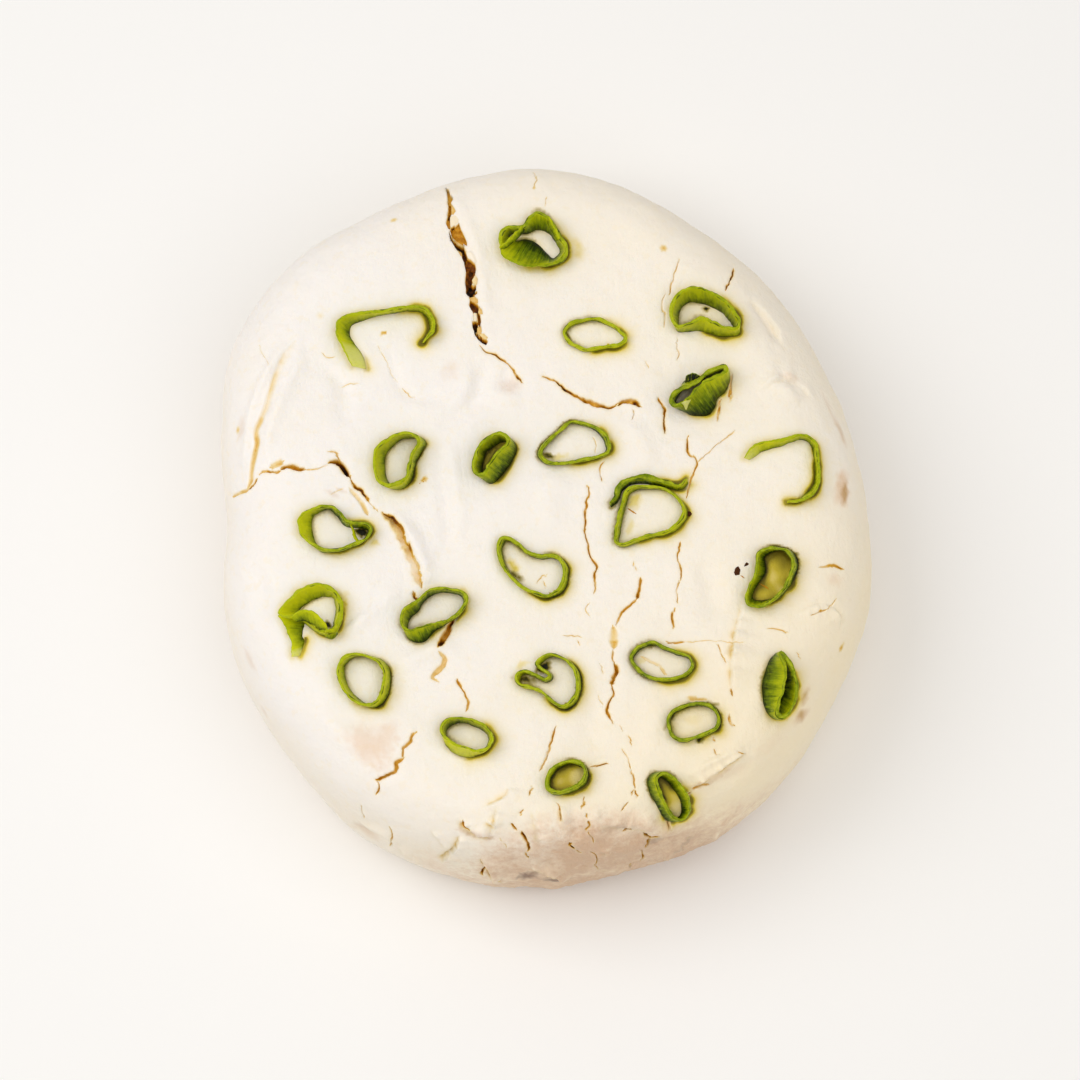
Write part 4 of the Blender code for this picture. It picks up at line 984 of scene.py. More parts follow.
def lap_layers(places):
    """Height of the laps at places, and the painted shadow that darkens the skin along each lap, most on
    the lower layer.
    """
    height, tone = np.zeros(len(places)), np.zeros(len(places))
    for seed, (reach, rise, dark, pixels) in enumerate(LAPS):
        line = sheet_line(pixels, 6, FINE)
        ids, gap, side, where = near_line(places, line, reach * 2.2 * MM)
        taper = eased_ends(where, line, 5)
        heights = wander(len(line), FINE, 1.4 * MM, seed + 50)
        uneven = 1 + 0.5 * np.interp(where, np.arange(len(line)), heights)
        above = np.clip(0.3 + gap / (0.2 * MM), 0, 1) * fade(gap, reach * MM, 1.4)
        below = -0.5 * fade(gap, reach * 0.3 * MM, 1.5)
        height[ids] += rise * MM * taper * uneven * np.where(side > 0, above, below)
        # Painted shadow along the lap, reaching further over the lower layer
        seam = fade(gap, np.where(side > 0, 0.16 * MM, 0.55 * MM), 1.3)
        tone[ids] = np.maximum(tone[ids], np.clip(dark * uneven, 0, 1) * taper * seam)
    return height, tone


def press_folds(places):
    """Height of the soft folds at places."""
    height = np.zeros(len(places))
    for width, rise, pixels in FOLDS:
        line = sheet_line(pixels, 6, MEDIUM)
        ids, gap, _side, where = near_line(places, line, width * 1.6 * MM)
        height[ids] += rise * MM * eased_ends(where, line, 4) * fade(gap, width * MM * 0.42, 2)
    return height


def lay_marks(places, kind):
    """Strength of one kind of mark at places."""
    strength = np.zeros(len(places))
    for pixel, long, wide, turn, power in MARKS[kind]:
        offset = places - on_cheese([pixel])[0]
        angle = math.radians(turn)
        along = offset @ (math.cos(angle), math.sin(angle)) / (long * MM / 2)
        across = offset @ (-math.sin(angle), math.cos(angle)) / (wide * MM / 2)
        reach = np.hypot(along, across)
        near = np.flatnonzero(reach < 2.4)
        spots = np.column_stack((places[near], np.zeros(len(near))))
        blur = rough(spots, ((0.5, 0.9 * MM), (0.35, 0.4 * MM)))
        strength[near] = np.maximum(strength[near], power * np.clip(1.5 - reach[near] + blur, 0, 1))
    return strength


def foot_line(upper, foot):
    """The places of a foot, which may be given as a shift from those of the upper edge."""
    return [(x + foot[0], y + foot[1]) for x, y in upper] if len(foot) == 2 else foot


def band_edges(closed, lifts, upper, foot):
    """A band's upper edge and its foot as smooth lines of points, with as many points each."""
    lines = []
    for pixels, lift in zip((upper, foot_line(upper, foot)), lifts):
        places = on_cheese(smooth_line(pixels, closed, 8), lift)
        lines.append(wheel(places)[0] + (0, 0, lift))
    return lines


def slice_traces():
    """Each slice's foot and the line its upper edge hides, on the sheet, and how it stains the cheese."""
    traces = []
    for _name, closed, _height, _wall, _yellow, juice, gloom, upper, foot in SCALLIONS:
        lines = [even_steps(on_cheese(smooth_line(pixels, closed, 6)), MEDIUM, closed)
                 for pixels in (foot_line(upper, foot), upper)]
        traces.append((lines, closed, juice, gloom))
    return traces


def inside_of(places, polygon):
    """Which places lie inside a polygon."""
    inside = np.zeros(len(places), bool)
    for (x0, y0), (x1, y1) in zip(polygon, np.roll(polygon, -1, axis=0)):
        spans = (y0 > places[:, 1]) != (y1 > places[:, 1])
        cross = x0 + (places[:, 1] - y0) / np.where(y1 == y0, 1, y1 - y0) * (x1 - x0)
        inside ^= spans & (places[:, 0] < cross)
    return inside


def lay_juice(places, traces):
    """Strength of the juice stain and painted shadow round and in each slice, of the painted shadow in its
    seam, and how far it sinks in.
    """
    stain, seam, press = np.zeros(len(places)), np.zeros(len(places)), np.zeros(len(places))
    for seed, (lines, closed, juice, (side, depth)) in enumerate(traces):
        gap = np.full(len(places), np.inf)
        within = np.full(len(places), closed)
        rings = [np.concatenate((line, line[:1])) if closed else line for line in lines]
        for ring in rings:
            ids, away, _side, _where = near_line(places, ring, JUICE_LIMIT)
            gap[ids] = np.minimum(gap[ids], away)
        ids = np.flatnonzero(gap < np.inf)
        if closed:
            within[ids] = inside_of(places[ids], lines[0]) & inside_of(places[ids], lines[1])
        gap, within = gap[ids], within[ids]
        middle = lines[0].mean(0)
        offset = places[ids] - middle
        out = offset / (np.linalg.norm(offset, axis=1)[:, None] + 1e-9)
        shaded = out @ SHADOW_SIDE
        spots = np.column_stack((places[ids], np.full(len(ids), seed * MM)))
        patchy = 1 + 0.9 * rough(spots, ((1.0, 2.2 * MM),))
        beyond = np.clip(gap - JUICE_FULL, 0, None)
        # The halo is juice stain all round, with painted shadow added on the side away from the light
        halo = patchy * ((0.28 + 0.9 * np.clip(shaded + 0.15, 0, 1)) * fade(beyond, HALO_FADE, 1.3)
                         + 0.6 * np.clip(0.1 + shaded, 0, 1) * fade(beyond, SHADOW_FADE, 1.4))
        mild = (1 + patchy) / 2
        reach = np.linalg.norm(lines[0] - middle, axis=1).mean()
        # Inside a slice the pool is juice, gathered as painted shadow behind the wall from the light
        behind = np.clip(0.5 - 0.6 * offset @ SHADOW_SIDE / reach, 0, 1)
        pool = mild * (3.2 * max(0, juice - 0.5) * (0.3 + 0.7 * behind)
                       + (0.2 + 0.9 * juice) * behind * fade(beyond, POOL_FADE)) + 0.03
        pool += 0.07 * fade(beyond, REST_FADE)
        stain[ids] = np.maximum(stain[ids], np.where(within, pool, halo))
        # The dark seam is painted shadow: outside on each slice's given side, inside on the side away from
        # the light
        turn = math.radians(side)
        dark = depth * np.clip(out @ (math.cos(turn), math.sin(turn)) * 1.6 - 0.2, 0, 1)
        inner = (0.3 + 0.6 * juice) * np.clip(0.1 - shaded, 0, 1)
        seam[ids] = np.maximum(seam[ids], np.where(within, inner, dark) * fade(beyond, SEAM_FADE, 2))
        press[ids] = np.maximum(press[ids], PRESS * fade(gap, PRESS_FADE, 2))
    return stain, seam, press


def triangle_grid(spacing, reach):
    """The places of an even grid of triangles out to a reach."""
    rows = np.arange(-int(reach / spacing / ROW_RATIO) - 1, int(reach / spacing / ROW_RATIO) + 2)
    columns = np.arange(-int(reach / spacing) - 1, int(reach / spacing) + 2)
    column, row = np.meshgrid(columns, rows)
    across = (column + row % 2 / 2) * spacing
    return np.column_stack((across.ravel(), (row * spacing * ROW_RATIO).ravel()))


def sheet_places(cracks, traces):
    """Unrolled vertices of the skin: the rim's first, then finer ones near cracks and slices."""
    turns = np.arange(RIM_POINTS) * math.tau / RIM_POINTS
    rim = np.column_stack((np.cos(turns), np.sin(turns))) * sheet_radius(turns)[:, None]
    strips = []
    for crack in cracks:
        strips.append(crack["line"])
        for side, half in zip((1, -1), crack["halves"]):
            for share, beyond in CRACK_ROWS:
                strips.append(crack["line"] + side * crack["across"] * (half * share + beyond)[:, None])
    for _sunk, _dark, pixels in FACETS:
        outline = facet_outline(pixels)
        inward = unit(outline.mean(0) - outline)
        strips += [outline - inward * FACET_EDGE, outline + inward * FACET_EDGE]
    strips = np.concatenate(strips)
    laps = [sheet_line(pixels, 6, FINE) for _reach, _rise, _dark, pixels in LAPS]
    seeds = np.concatenate([strips] + laps + [lines[0] for lines, *_rest in traces])
    tree = kdtree.KDTree(len(seeds))
    for k, place in enumerate(seeds):
        tree.insert((place[0], place[1], 0), k)
    tree.balance()
    reach = np.linalg.norm(rim, axis=1).max()
    chosen = [rim, strips]
    for spacing, low, high in ((FINE, LINE_CLEAR, NEAR), (MEDIUM, NEAR, FAR), (COARSE, FAR, reach)):
        grid = triangle_grid(spacing, reach)
        edge = sheet_radius(np.arctan2(grid[:, 1], grid[:, 0])) - spacing / 2
        grid = grid[np.hypot(grid[:, 0], grid[:, 1]) < edge]
        gaps = np.array([tree.find((x, y, 0))[2] for x, y in grid])
        band = (gaps >= low) & (gaps < high)
        if spacing == MEDIUM:
            band |= (gaps >= FAR) & (crumbly(grid) > CRUMBLY)
        if spacing == COARSE:
            band &= crumbly(grid) <= CRUMBLY
        chosen.append(grid[band])
    return np.concatenate(chosen)


def crumbly(places):
    """How dry and crumbly the skin is, from 0 on the top to 1 low on the front."""
    edge = on_cheese(DRY_EDGE)
    turns, turn = (np.degrees(np.arctan2(each[:, 1], each[:, 0])) % 360 for each in (edge, places))
    start = np.interp(turn, turns, np.hypot(edge[:, 0], edge[:, 1]))
    ends = np.clip((np.minimum(turn - turns[0], turns[-1] - turn) + DRY_REACH) / DRY_BLEND, 0, 1)
    return ends * np.clip((np.hypot(places[:, 0], places[:, 1]) - start) / DRY_FADE, 0, 1)


def finished_object(name, points, faces, attributes, material, node):
    """A smooth-shaded piece with per-vertex values, riding on the object's body."""
    mesh = bpy.data.meshes.new(name)
    mesh.from_pydata(points, [], faces)
    for key, values in attributes.items():
        layer = mesh.attributes.new(key, "FLOAT", "POINT")
        layer.data.foreach_set("value", np.asarray(values, np.float32))
    mesh.materials.append(material)
    mesh.shade_smooth()
    piece = bpy.data.objects.new(name, mesh)
    bpy.context.scene.collection.objects.link(piece)
    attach(piece, "root")
    for each in node:
        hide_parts(each)
    return piece


class Wire:
    """One value in a finish's nodes, so that maths on it reads as a plain expression."""

    def __init__(self, finish, socket):
        self.finish = finish
        self.socket = socket

    def maths(self, operation, *values):
        return self.finish.node("ShaderNodeMath", {"operation": operation}, dict(enumerate(values)))

    def __add__(self, other):
        return self.maths("ADD", self, other)

    def __sub__(self, other):
        return self.maths("SUBTRACT", self, other)

    def __rsub__(self, other):
        return self.maths("SUBTRACT", other, self)

    def __mul__(self, other):
        return self.maths("MULTIPLY", self, other)

    def __abs__(self):
        return self.maths("ABSOLUTE", self)

    __radd__ = __add__
    __rmul__ = __mul__

    def limited(self, low=0.0, high=1.0):
        return self.finish.node("ShaderNodeClamp", {}, {"Value": self, "Min": low, "Max": high})


class Finish:
    """A material, and the nodes that make its colour and relief."""

    def __init__(self, name, **constants):
        self.material = bpy.data.materials.new(name)
        self.material.use_nodes = True
        self.nodes = self.material.node_tree.nodes
        self.links = self.material.node_tree.links
        self.shader = self.nodes["Principled BSDF"]
        for socket, value in constants.items():
            self.shader.inputs[socket.replace("_", " ")].default_value = value

    def node(self, kind, settings, inputs, output=0):
        """Adds a node, makes its settings, then fills its sockets with values or links."""
        made = self.nodes.new(kind)
        for key, value in settings.items():
            if key == "stops":
                self.set_stops(made.color_ramp, value)
            else:
                setattr(made, key, value)
        for key, value in inputs.items():
            if isinstance(value, Wire):
                self.links.new(value.socket, made.inputs[key])
            else:
                made.inputs[key].default_value = value
        return Wire(self, made.outputs[output])

    @staticmethod
    def set_stops(ramp, stops):
        while len(ramp.elements) < len(stops):
            ramp.elements.new(1.0)
        for element, (place, colour) in zip(ramp.elements, stops):
            element.position = place
            element.color = (*colour, 1.0)

    def attribute(self, name):
        return self.node("ShaderNodeAttribute", {"attribute_name": name}, {}, "Fac")

    def mix(self, factor, first, second):
        """A colour between two others."""
        inputs = {"Factor": factor, 6: first if isinstance(first, Wire) else (*first, 1.0),
                  7: second if isinstance(second, Wire) else (*second, 1.0)}
        return self.node("ShaderNodeMix", {"data_type": "RGBA"}, inputs, 2)

    def ramp(self, factor, stops):
        return self.node("ShaderNodeValToRGB", {"stops": stops}, {"Fac": factor}, "Color")

    def noise(self, size, detail=2.0, roughness=0.5, place=None):
        """Noise from 0 to 1 whose features are about a size across."""
        place = place or self.node("ShaderNodeTexCoord", {}, {}, "Object")
        return self.node("ShaderNodeTexNoise", {}, {
            "Vector": place, "Scale": 1 / size, "Detail": detail, "Roughness": roughness})

    def wire(self, socket, wire):
        self.links.new(wire.socket, self.shader.inputs[socket])

    def bump(self, height, strength, distance):
        inputs = {"Height": height, "Strength": strength, "Distance": distance}
        self.wire("Normal", self.node("ShaderNodeBump", {}, inputs))


def cheese_finish(look):
    """Moist white cheese, warmer to the rim, ochre to brown in its cracks, stained by the scallions.

    The warmer colour to the rim is painted warm shade; the brown deep in the cracks and the dark beside
    the slices are painted shade.
    """
    finish = Finish("moist white cheese", Subsurface_Weight=0.4, Subsurface_Radius=(1.0, 0.92, 0.8),
                    Subsurface_Scale=0.55 * MM, Specular_IOR_Level=0.2)
    cloud = finish.noise(9 * MM, 3.0)
    fleck = finish.noise(1.7 * MM, 3.0, 0.6)
    grit = finish.noise(0.7 * MM, 3.0, 0.65)
    # Painted warm shade towards the rim, with a cloudy wander
    warm = (finish.attribute("warmth") + (cloud - 0.5) * 0.3).limited()
    colour = finish.mix(warm, look.cream, look.rim)
    colour = finish.mix(((fleck - 0.56) * 2.2).limited(0.0, 0.22), colour, look.rim)
    # The dry skin's tan is partly painted shade of the front turned down from the light
    dry = finish.attribute("dry")
    uneven = (cloud - 0.5) * 1.7 + (fleck - 0.5) * 1.2 + (grit - 0.5) * 0.8
    parched = (dry * 0.95 + uneven) * (dry * 3.0).limited()
    colour = finish.mix(parched.limited(0.0, 0.95), colour, look.dry)
    # Blush is the skin's own colour; the second kind is painted shadow under flakes; tan is partly tan
    # marks, partly painted shadow beside flakes
    for kind, least, speckled in (("blush", 0.8, 0.6), ("smudge", 0.7, 0.8), ("tan", 0.7, 0.8)):
        strength = finish.attribute(kind) * (least + fleck * speckled)
        colour = finish.mix(strength.limited(0.0, 0.9), colour, getattr(look, kind))
    # Juice stain and painted shadow beside and inside the slices, darker olive where deepest
    whey = finish.attribute("whey")
    colour = finish.mix((whey * (0.8 + cloud * 0.4)).limited(0.0, 0.95), colour, look.whey)
    colour = finish.mix(((whey - 0.8) * 1.2).limited(0.0, 0.9), colour, look.pooled)
    # Painted shadow in the seams under the slices
    colour = finish.mix(finish.attribute("gloom").limited(), colour, look.gloom)
    # From ochre to near black: the cheese's ochre in a crack, with painted shade deeper in
    tone = finish.attribute("tone")
    mottled = (tone * (0.55 + grit * 0.9)).limited()
    ochre_to_shade = finish.ramp(mottled, (
        (0.0, srgb(246, 234, 206)), (0.2, srgb(238, 212, 152)), (0.4, srgb(222, 174, 66)),
        (0.58, srgb(192, 132, 4)), (0.78, srgb(128, 70, 8)), (1.0, srgb(36, 18, 2))))
    colour = finish.mix((tone * (6.0 - dry * 3.5)).limited(), colour, ochre_to_shade)
    finish.wire("Base Color", colour)
    finish.wire("Roughness", 0.42 + fleck * 0.16)
    fine = finish.noise(0.55 * MM, 3.0, 0.6)
    broad = finish.noise(2.6 * MM, 2.0)
    drawn = finish.node("ShaderNodeVectorMath", {"operation": "MULTIPLY"}, {
        0: finish.node("ShaderNodeTexCoord", {}, {}, "Object"), 1: (1.4, 0.7, 1.0)})
    creases = finish.noise(0.9 * MM, 3.0, 0.6, drawn)
    finish.bump(fine * (0.3 + dry * 1.4) + creases * 0.5 + broad, look.grain, 0.3 * MM)
    return finish.material


def leaf_finish(look):
    """Waxy green leaf, veined from foot to edge: bright towards its cut edge and near black at its foot,
    in painted light and shade.
    """
    finish = Finish("scallion leaf", Specular_IOR_Level=0.12, Subsurface_Weight=0.7,
                    Subsurface_Radius=(0.9, 1.0, 0.15), Subsurface_Scale=0.6 * MM)
    rise, cut, lean, yellow = (finish.attribute(name) for name in ("rise", "cut", "lean", "yellow"))
    across = finish.attribute("across")
    mottle = finish.noise(1.3 * MM, 3.0, 0.6)
    speck = finish.noise(0.4 * MM, 2.0)
    fibre = finish.node("ShaderNodeCombineXYZ", {}, {"X": finish.attribute("run"), "Y": rise * 0.5})
    streak = finish.noise(0.55, 3.0, 0.65, fibre)
    hair = finish.noise(0.2, 1.0, 0.5, fibre)
    # Painted light and shade: dark at a wall's foot, bright towards its cut edge
    light = (rise * 0.85 + yellow * 0.3 + 0.16 + (streak - 0.5) * 1.1 + (mottle - 0.5) * 0.6).limited()
    face = finish.ramp(light, ((0.0, look.deep), (0.3, look.old), (0.62, look.leaf), (1.0, look.young)))
    golden = yellow * (0.2 + rise * 0.9) + yellow * (mottle - 0.5)
    face = finish.mix(golden.limited(0.0, 0.9), face, look.gold)
    # Yellowness below 0 paints shade
    face = finish.mix((yellow * -1.2).limited(0.0, 0.95), face, look.deep)
    face = finish.mix(((yellow - 1.0) * (1.2 + speck * 1.6)).limited(0.0, 0.9), face, look.pale)
    face = finish.mix(((hair - 0.58) * 6.0).limited(0.0, 0.6) * rise, face, look.core)
    edge = finish.mix((yellow * 0.9 + (mottle - 0.5) * 2.0 + 0.35).limited(), look.leaf, look.young)
    lopsided = finish.noise(1.6 * MM, 1.0) - 0.5
    moist = (0.8 - abs(across - lopsided * 3.0)) * (speck * 2.0 + mottle * 3.0 - 1.7)
    edge = finish.mix(moist.limited(0.0, 0.8), edge, look.core)
    # Dark lines along the cut edge: the leaf's own darker skin, with painted shade where the wall turns
    # down
    outline = across * lopsided * 9.0 + abs(across) * 0.5 + (speck - 0.5) * 1.4 - 0.5
    edge = finish.mix((outline * (1.0 - lean)).limited(0.0, 0.9), edge, look.skin)
    finish.wire("Base Color", finish.mix(cut, face, edge))
    finish.wire("Roughness", 0.36 + mottle * 0.2)
    finish.bump(streak + speck * 0.7, 0.7, 0.1 * MM)
    return finish.material


def crumb_finish(kind, colours):
    """A crumb's colour, mottled between two."""
    finish = Finish(kind + " crumb", Subsurface_Weight=0.2, Subsurface_Scale=0.3 * MM, Roughness=0.6,
                    Specular_IOR_Level=0.1)
    finish.wire("Base Color", finish.mix(finish.noise(0.7 * MM, 3.0), colours[0], colours[1]))
    finish.bump(finish.noise(0.4 * MM, 2.0), 0.4, 0.06 * MM)
    return finish.material


def warm_shade_share(points, down):
    """How warm the white is: more to the right, to the front and the back, and down the side, as painted
    warm shade where the skin turns from the light.
    """
    across, back, _height = points.T
    warmth = 0.06 + 6.5 * across + 5.5 * np.abs(back - 4 * MM)
    warmth += 12 * np.clip(0.7 * (across - back) - 30 * MM, 0, None)
    return np.clip(np.clip(warmth, 0, 1) + 0.3 * down, 0, 1)


def closed_faces(points, faces):
    """The faces of a sheet and of the flat base that closes it, all turned outwards."""
    mesh = bmesh.new()
    made = [mesh.verts.new(point) for point in points]
    for face in faces:
        mesh.faces.new([made[k] for k in face])
    bmesh.ops.edgeloop_fill(mesh, edges=[edge for edge in mesh.edges if edge.is_boundary])
    bmesh.ops.recalc_face_normals(mesh, faces=mesh.faces)
    mesh.verts.index_update()
    closed = [[vert.index for vert in face.verts] for face in mesh.faces]
    mesh.free()
    return closed


class FETA_OT_cheese(bpy.types.Operator):
    """Builds the cracked cheese round its frame"""

    bl_idname = "feta.cheese"
    bl_label = "Cheese"

    def execute(self, context):
        look = context.scene.feta_cheese
        cracks = crack_lines(CRACKS, look.raggedness)
        cracks += crack_lines(TROUGHS, look.raggedness * TROUGH_SWAY, True)
        traces = slice_traces()
        places = sheet_places(cracks, traces)
        sheet, _edges, faces, *_sources = delaunay_2d_cdt(
            [Vector(place) for place in places], [], [list(range(RIM_POINTS))], 1, SAME_PLACE)
        places = np.array([tuple(place) for place in sheet])
        points, normals = wheel(places)
        depth, tone = cut_cracks(places, cracks)
        sink_facets(places, depth, tone)
        lapped, lap_shadows = lap_layers(places)
        stain, seam, press = lay_juice(places, traces)
        run = np.hypot(places[:, 0], places[:, 1])
        _edge, flat, upper, lower = bend_lengths(np.arctan2(places[:, 1], places[:, 0]))
        from_rim = flat + upper + lower - run
        patch = crumbly(places)
        crumble = look.crumble * rough(points, CRUMBLE) * patch
        folds = look.folds * press_folds(places) + look.flakes * lapped
        moved = rough(points, SKIN_GRAIN) + folds + crumble - depth - press
        points = points + normals * (moved * np.clip(from_rim / RIM_FIRM, 0, 1))[:, None]
        points[from_rim < SAME_PLACE, 2] = 0.0
        points[:, 2] = np.maximum(points[:, 2], 0.0)
        down = np.clip((run - flat - 0.55 * upper) / (9 * MM), 0, 1)
        marks = {kind: lay_marks(places, kind) for kind in MARKS}
        # Crack colour, with the painted shadow of the laps and the brown specks
        tone = np.maximum(np.maximum(tone, lap_shadows), marks["brown"])
        # Painted shadow under the slices' walls and beside them
        gloom = np.maximum(seam, marks["gloom"])
        juice = np.maximum(np.maximum(stain, gloom * 1.3), marks["juice"])
        attributes = {
            "tone": tone, "dry": patch, "gloom": gloom,
            "whey": juice * (1 - np.clip(tone * 3, 0, 1)),
            "warmth": warm_shade_share(points, down),
            "smudge": marks["shadow_under_flakes"], "blush": marks["pink"], "tan": marks["tan"],
        }
        faces = closed_faces(points, faces)
        finished_object("feta_wheel", points, faces, attributes, cheese_finish(look), [CHEESE])
        return {"FINISHED"}


# A slice's section, up one side, over the cut edge and down the other: across, height, on the cut
WALL_HEIGHTS = (0.0, 0.14, 0.28, 0.42, 0.56, 0.7, 0.84, 0.95)
CUT_EDGE = ((0.9, 0.985), (0.6, 1.0), (0.3, 1.0), (0.0, 0.99), (-0.3, 1.0), (-0.6, 1.0), (-0.9, 0.985))
SECTION = ([(1.0, height, 0) for height in WALL_HEIGHTS] + [(*place, 1) for place in CUT_EDGE]
           + [(-1.0, height, 0) for height in reversed(WALL_HEIGHTS)])
SLICE_STEP = 0.28 * MM
# The values that the leaf's finish reads at each vertex
VALUES = ("rise", "cut", "across", "yellow", "lean", "run")


def build_band(band, look, seed):
    """Points, faces and values of one band of leaf between its upper edge and its foot."""
    closed, lifts, wall, yellow, upper, foot = band
    pair = even_steps(np.hstack(band_edges(closed, lifts, upper, foot)), SLICE_STEP * 1.2, closed)
    top, foot = pair[:, :3], pair[:, 3:]
    count = len(top)
    middle = (top + foot) / 2
    if closed:
        along = np.roll(middle, -1, axis=0) - np.roll(middle, 1, axis=0)
    else:
        along = np.gradient(middle, axis=0)
    side = unit(np.cross(along, top - foot))
    if (side * (middle - middle.mean(0))).sum() < 0:
        side = -side
    ends = from_end(count)
    seam = np.minimum(1, ends / 8) if closed else 1
    rising = np.abs(top - foot)
    lean = np.clip(np.hypot(rising[:, 0], rising[:, 1]) / (rising[:, 2] + 0.4 * MM) - 0.35, 0, 1)

    def wavy(size, offset):
        return wander(count, SLICE_STEP, size * MM, seed + offset)

    uneven = 0.22 * wavy(1.8, 3) * seam
    thick = wall * MM / 2 * (1 - 0.55 * lean) * (
        1 + uneven + 0.16 * jagged(count, SLICE_STEP, 0.8 * MM, seed + 3) * seam)
    notch = 0.12 * MM * (wavy(1.6, 11) + 0.7 * wavy(0.6, 13)) * seam
    sway = look.wobble * (wavy(1.9, 23) + 0.35 * wavy(0.7, 29)) * seam
    if not closed:
        thick = thick * np.clip(0.2 + ends / 12, 0, 1)
    ridge = np.clip(wavy(0.8, 17) - 0.2, 0, 1)
    up = unit(top - foot)
    points, rows = [], []
    for across, height, cut in SECTION:
        belly = math.sin(height * math.pi) * 0.06 * wall * MM
        out = across * (thick + look.vein * ridge * (1 - cut)) + belly + sway * height
        raised = up * (notch * height ** 3)[:, None]
        points.append(foot + (top - foot) * height + side * out[:, None] + raised)
        rows.append((height, cut, across))
    heights, cuts, acrosses = (np.repeat(column, count) for column in zip(*rows))
    tiled = [np.tile(each, len(rows)) for each in (
        spread(yellow, count), lean, np.arange(count) * SLICE_STEP / MM + seed)]
    values = dict(zip(VALUES, (heights, cuts, acrosses, *tiled)))
    faces = []
    for k in range(count if closed else count - 1):
        after = (k + 1) % count
        for j in range(len(rows)):
            above = (j + 1) % len(rows)
            faces.append((j * count + k, j * count + after, above * count + after, above * count + k))
    if not closed:
        faces.append([j * count for j in range(len(rows))])
        faces.append([j * count + count - 1 for j in reversed(range(len(rows)))])
    return np.concatenate(points), faces, values


def build_slice(name, bands, look, seed, material):
    """One slice of scallion, made of one band or several."""
    points, faces, values = [], [], {key: [] for key in VALUES}
    start = 0
    for number, band in enumerate(bands):
        band_points, band_faces, band_values = build_band(band, look, seed + 400 * number)
        points.append(band_points)
        faces.extend([k + start for k in face] for face in band_faces)
        start += len(band_points)
        for key in VALUES:
            values[key].append(band_values[key])
    attributes = {key: np.concatenate(value) for key, value in values.items()}
    made = finished_object(name.replace("scallion", "slice"), np.concatenate(points), faces, attributes,
                           material, [name])
    shape = bmesh.new()
    shape.from_mesh(made.data)
    bmesh.ops.recalc_face_normals(shape, faces=shape.faces)
    shape.to_mesh(made.data)
    shape.free()


class FETA_OT_slices(bpy.types.Operator):
    """Builds each slice of scallion round its frame"""

    bl_idname = "feta.slices"
    bl_label = "Scallion slices"

    def execute(self, context):
        look = context.scene.feta_scallion
        material = leaf_finish(look)
        for seed, row in enumerate(SCALLIONS):
            name, closed, height, wall, yellow, _juice, _seam_shadow, upper, foot = row
            bands = [(closed, (height * MM, -look.sink), wall, yellow, upper, foot)]
            for owner, lifts, wall, yellow, upper, foot in FOLDED_BITS:
                if owner == name:
                    bands.append((False, (lifts[0] * MM, lifts[1] * MM), wall, yellow, upper, foot))
            build_slice(name, bands, look, seed * 31, material)
        return {"FINISHED"}


# Flat faces chipped off each crumb
CRUMB_FACES = 9
# How far a crumb's middle lies under the skin, as a share of its height
CRUMB_SUNK = 0.3
CRUMB_COLOURS = {
    "white": (srgb(248, 238, 218), srgb(236, 216, 178)),
    "ochre": (srgb(218, 156, 34), srgb(188, 120, 20)),
    "brown": (srgb(92, 46, 14), srgb(52, 26, 8)),
}


def add_crumb(shape, seed, pixel, size, turn):
    """Adds a chipped lump of a length, width and height in mm, with its middle under the skin."""
    base = wheel(on_cheese([pixel]))[0][0] - (0, 0, CRUMB_SUNK * size[2] * MM)
    angle = math.radians(turn)
    draws = np.random.default_rng(seed)
    faces = unit(draws.normal(size=(CRUMB_FACES, 3)))
    cuts = draws.uniform(0.4, 0.8, CRUMB_FACES)
    for vert in bmesh.ops.create_icosphere(shape, subdivisions=4, radius=0.5)["verts"]:
        jag = min(1.0, (cuts / np.maximum(faces @ vert.co.normalized(), 0.05)).min())
        jag *= 1 + 0.12 * noise.noise(vert.co * 6 + Vector((seed * 7, 0, 0)))
        x, y, z = (place * long * jag for place, long in zip(vert.co, size))
        vert.co = Vector(base) + Vector((
            x * math.cos(angle) - y * math.sin(angle), x * math.sin(angle) + y * math.cos(angle), z)) * MM


class FETA_OT_crumbs(bpy.types.Operator):
    """Scatters the loose crumbs that lie in the cracks and beside the slices"""

    bl_idname = "feta.crumbs"
    bl_label = "Crumbs"

    def execute(self, context):
        for kind, colours in CRUMB_COLOURS.items():
            shape = bmesh.new()
            for seed, (pixel, *size, turn, crumb_kind) in enumerate(CRUMBS):
                if crumb_kind == kind:
                    add_crumb(shape, seed, pixel, size, turn)
            points = [tuple(vert.co) for vert in shape.verts]
            faces = [[vert.index for vert in face.verts] for face in shape.faces]
            shape.free()
            material = crumb_finish(kind, colours)
            made = finished_object(kind + "_crumbs", points, faces, {}, material, [])
            made.data.shade_flat()
        return {"FINISHED"}


# How far the floor reaches from the middle, and the place and size of each light
FLOOR_REACH = 4.0
KEY = (Vector((-0.62, 0.04, 0.85)), 0.75)
FILL = (Vector((0.32, -0.26, 0.95)), 1.1)
LAMP_COLOUR = (1.0, 0.985, 0.965)
SKY_COLOUR = (1.0, 0.985, 0.97, 1.0)


def facing(direction):
    """The turn of a light or camera that looks in a direction."""
    return direction.to_track_quat("-Z", "Y").to_euler()


def area_light(name, place, size, power):
    """A soft light aimed at the middle of the cheese."""
    data = bpy.data.lights.new(name, "AREA")
    data.size = size
    data.energy = power
    data.color = LAMP_COLOUR
    lamp = bpy.data.objects.new(name, data)
    lamp.location = place
    lamp.rotation_euler = facing(Vector((0, 0, WHEEL_HEIGHT / 2)) - lamp.location)
    bpy.context.scene.collection.objects.link(lamp)


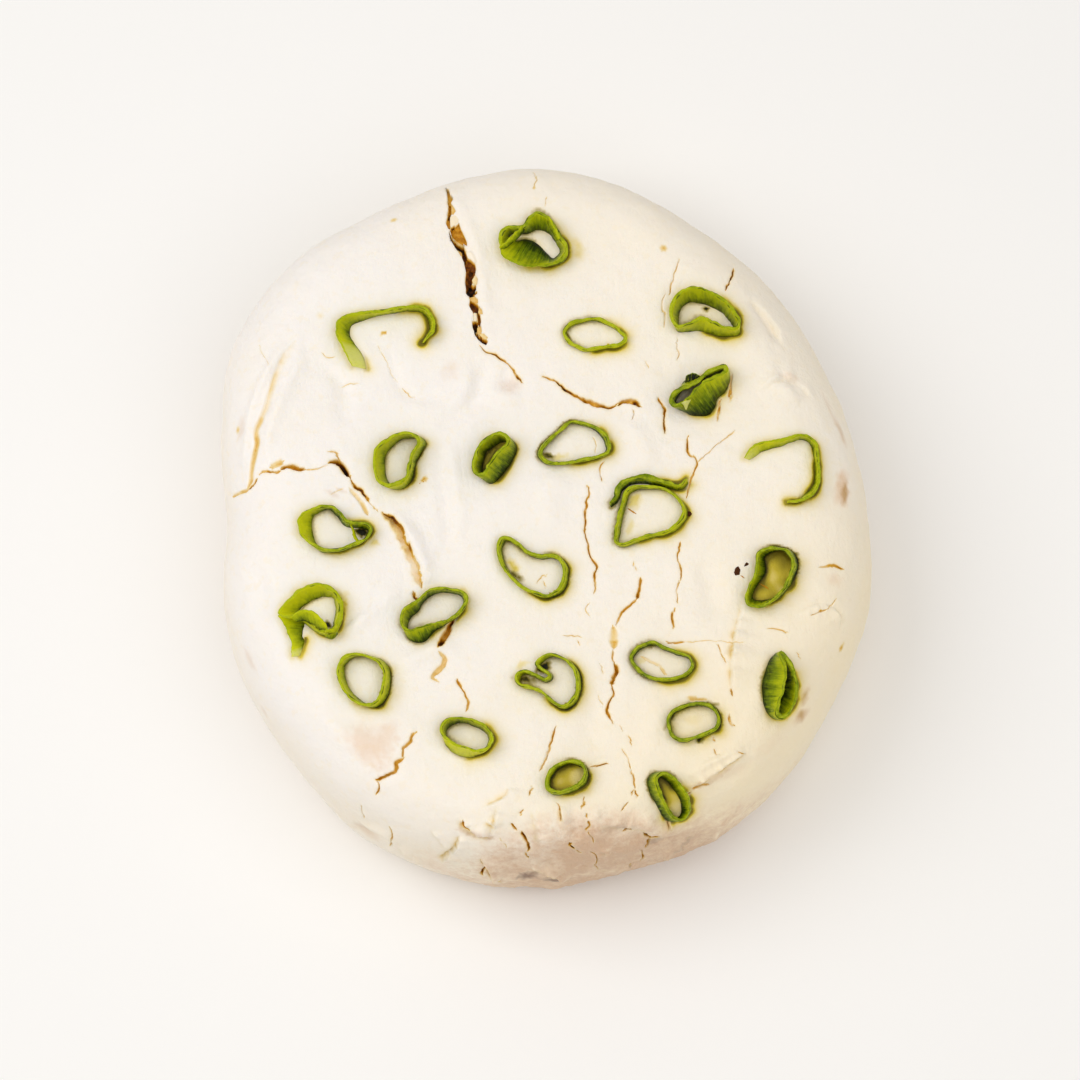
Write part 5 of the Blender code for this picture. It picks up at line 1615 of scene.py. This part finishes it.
class FETA_OT_stage(bpy.types.Operator):
    """Lays the floor and sets the lights and the camera"""

    bl_idname = "feta.stage"
    bl_label = "Stage"

    def execute(self, context):
        look = context.scene.feta_stage
        scene = context.scene
        shape = bmesh.new()
        bmesh.ops.create_grid(shape, x_segments=1, y_segments=1, size=FLOOR_REACH)
        mesh = bpy.data.meshes.new("floor")
        shape.to_mesh(mesh)
        shape.free()
        finish = Finish("pale floor", Roughness=0.8, Specular_IOR_Level=0.1,
                        Base_Color=(*look.floor, 1.0))
        mesh.materials.append(finish.material)
        floor = bpy.data.objects.new("floor", mesh)
        scene.collection.objects.link(floor)
        area_light("key", *KEY, look.key_power)
        area_light("fill", *FILL, look.fill_power)
        world = bpy.data.worlds.new("studio")
        world.use_nodes = True
        background = world.node_tree.nodes["Background"]
        background.inputs["Color"].default_value = SKY_COLOUR
        background.inputs["Strength"].default_value = look.sky
        scene.world = world
        scene.view_settings.view_transform = "Standard"
        data = bpy.data.cameras.new("picture view")
        data.lens = LENS
        data.sensor_width = SENSOR
        data.clip_start = 0.05
        camera = bpy.data.objects.new("picture view", data)
        back = Vector(TO_VIEWER)
        camera.location = VIEW_AIM + back * VIEW_DISTANCE
        camera.rotation_euler = facing(-back)
        scene.collection.objects.link(camera)
        scene.camera = camera
        return {"FINISHED"}


class FETA_PT_panel(bpy.types.Panel):
    """Lists the builders and their settings"""

    bl_label = "Feta wheel"
    bl_idname = "FETA_PT_panel"
    bl_space_type = "VIEW_3D"
    bl_region_type = "UI"
    bl_category = "Feta"

    def draw(self, context):
        layout = self.layout
        for group in (context.scene.feta_cheese, context.scene.feta_scallion, context.scene.feta_stage):
            box = layout.box()
            for key in group.__annotations__:
                box.prop(group, key)
        for operator in BUILDERS:
            layout.operator(operator.bl_idname)


LOOKS = {"feta_cheese": CheeseLook, "feta_scallion": ScallionLook, "feta_stage": StageLook}
BUILDERS = (FETA_OT_stage, FETA_OT_cheese, FETA_OT_slices, FETA_OT_crumbs)


def register():
    for group in (*LOOKS.values(), *BUILDERS, FETA_PT_panel):
        bpy.utils.register_class(group)
    for key, group in LOOKS.items():
        setattr(bpy.types.Scene, key, PointerProperty(type=group))


def unregister():
    for key in LOOKS:
        delattr(bpy.types.Scene, key)
    for group in reversed((*LOOKS.values(), *BUILDERS, FETA_PT_panel)):
        bpy.utils.unregister_class(group)


def main():
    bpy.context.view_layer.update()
    register()
    bpy.ops.feta.stage()
    bpy.ops.feta.cheese()
    bpy.ops.feta.slices()
    bpy.ops.feta.crumbs()


if __name__ == "__main__":
    main()
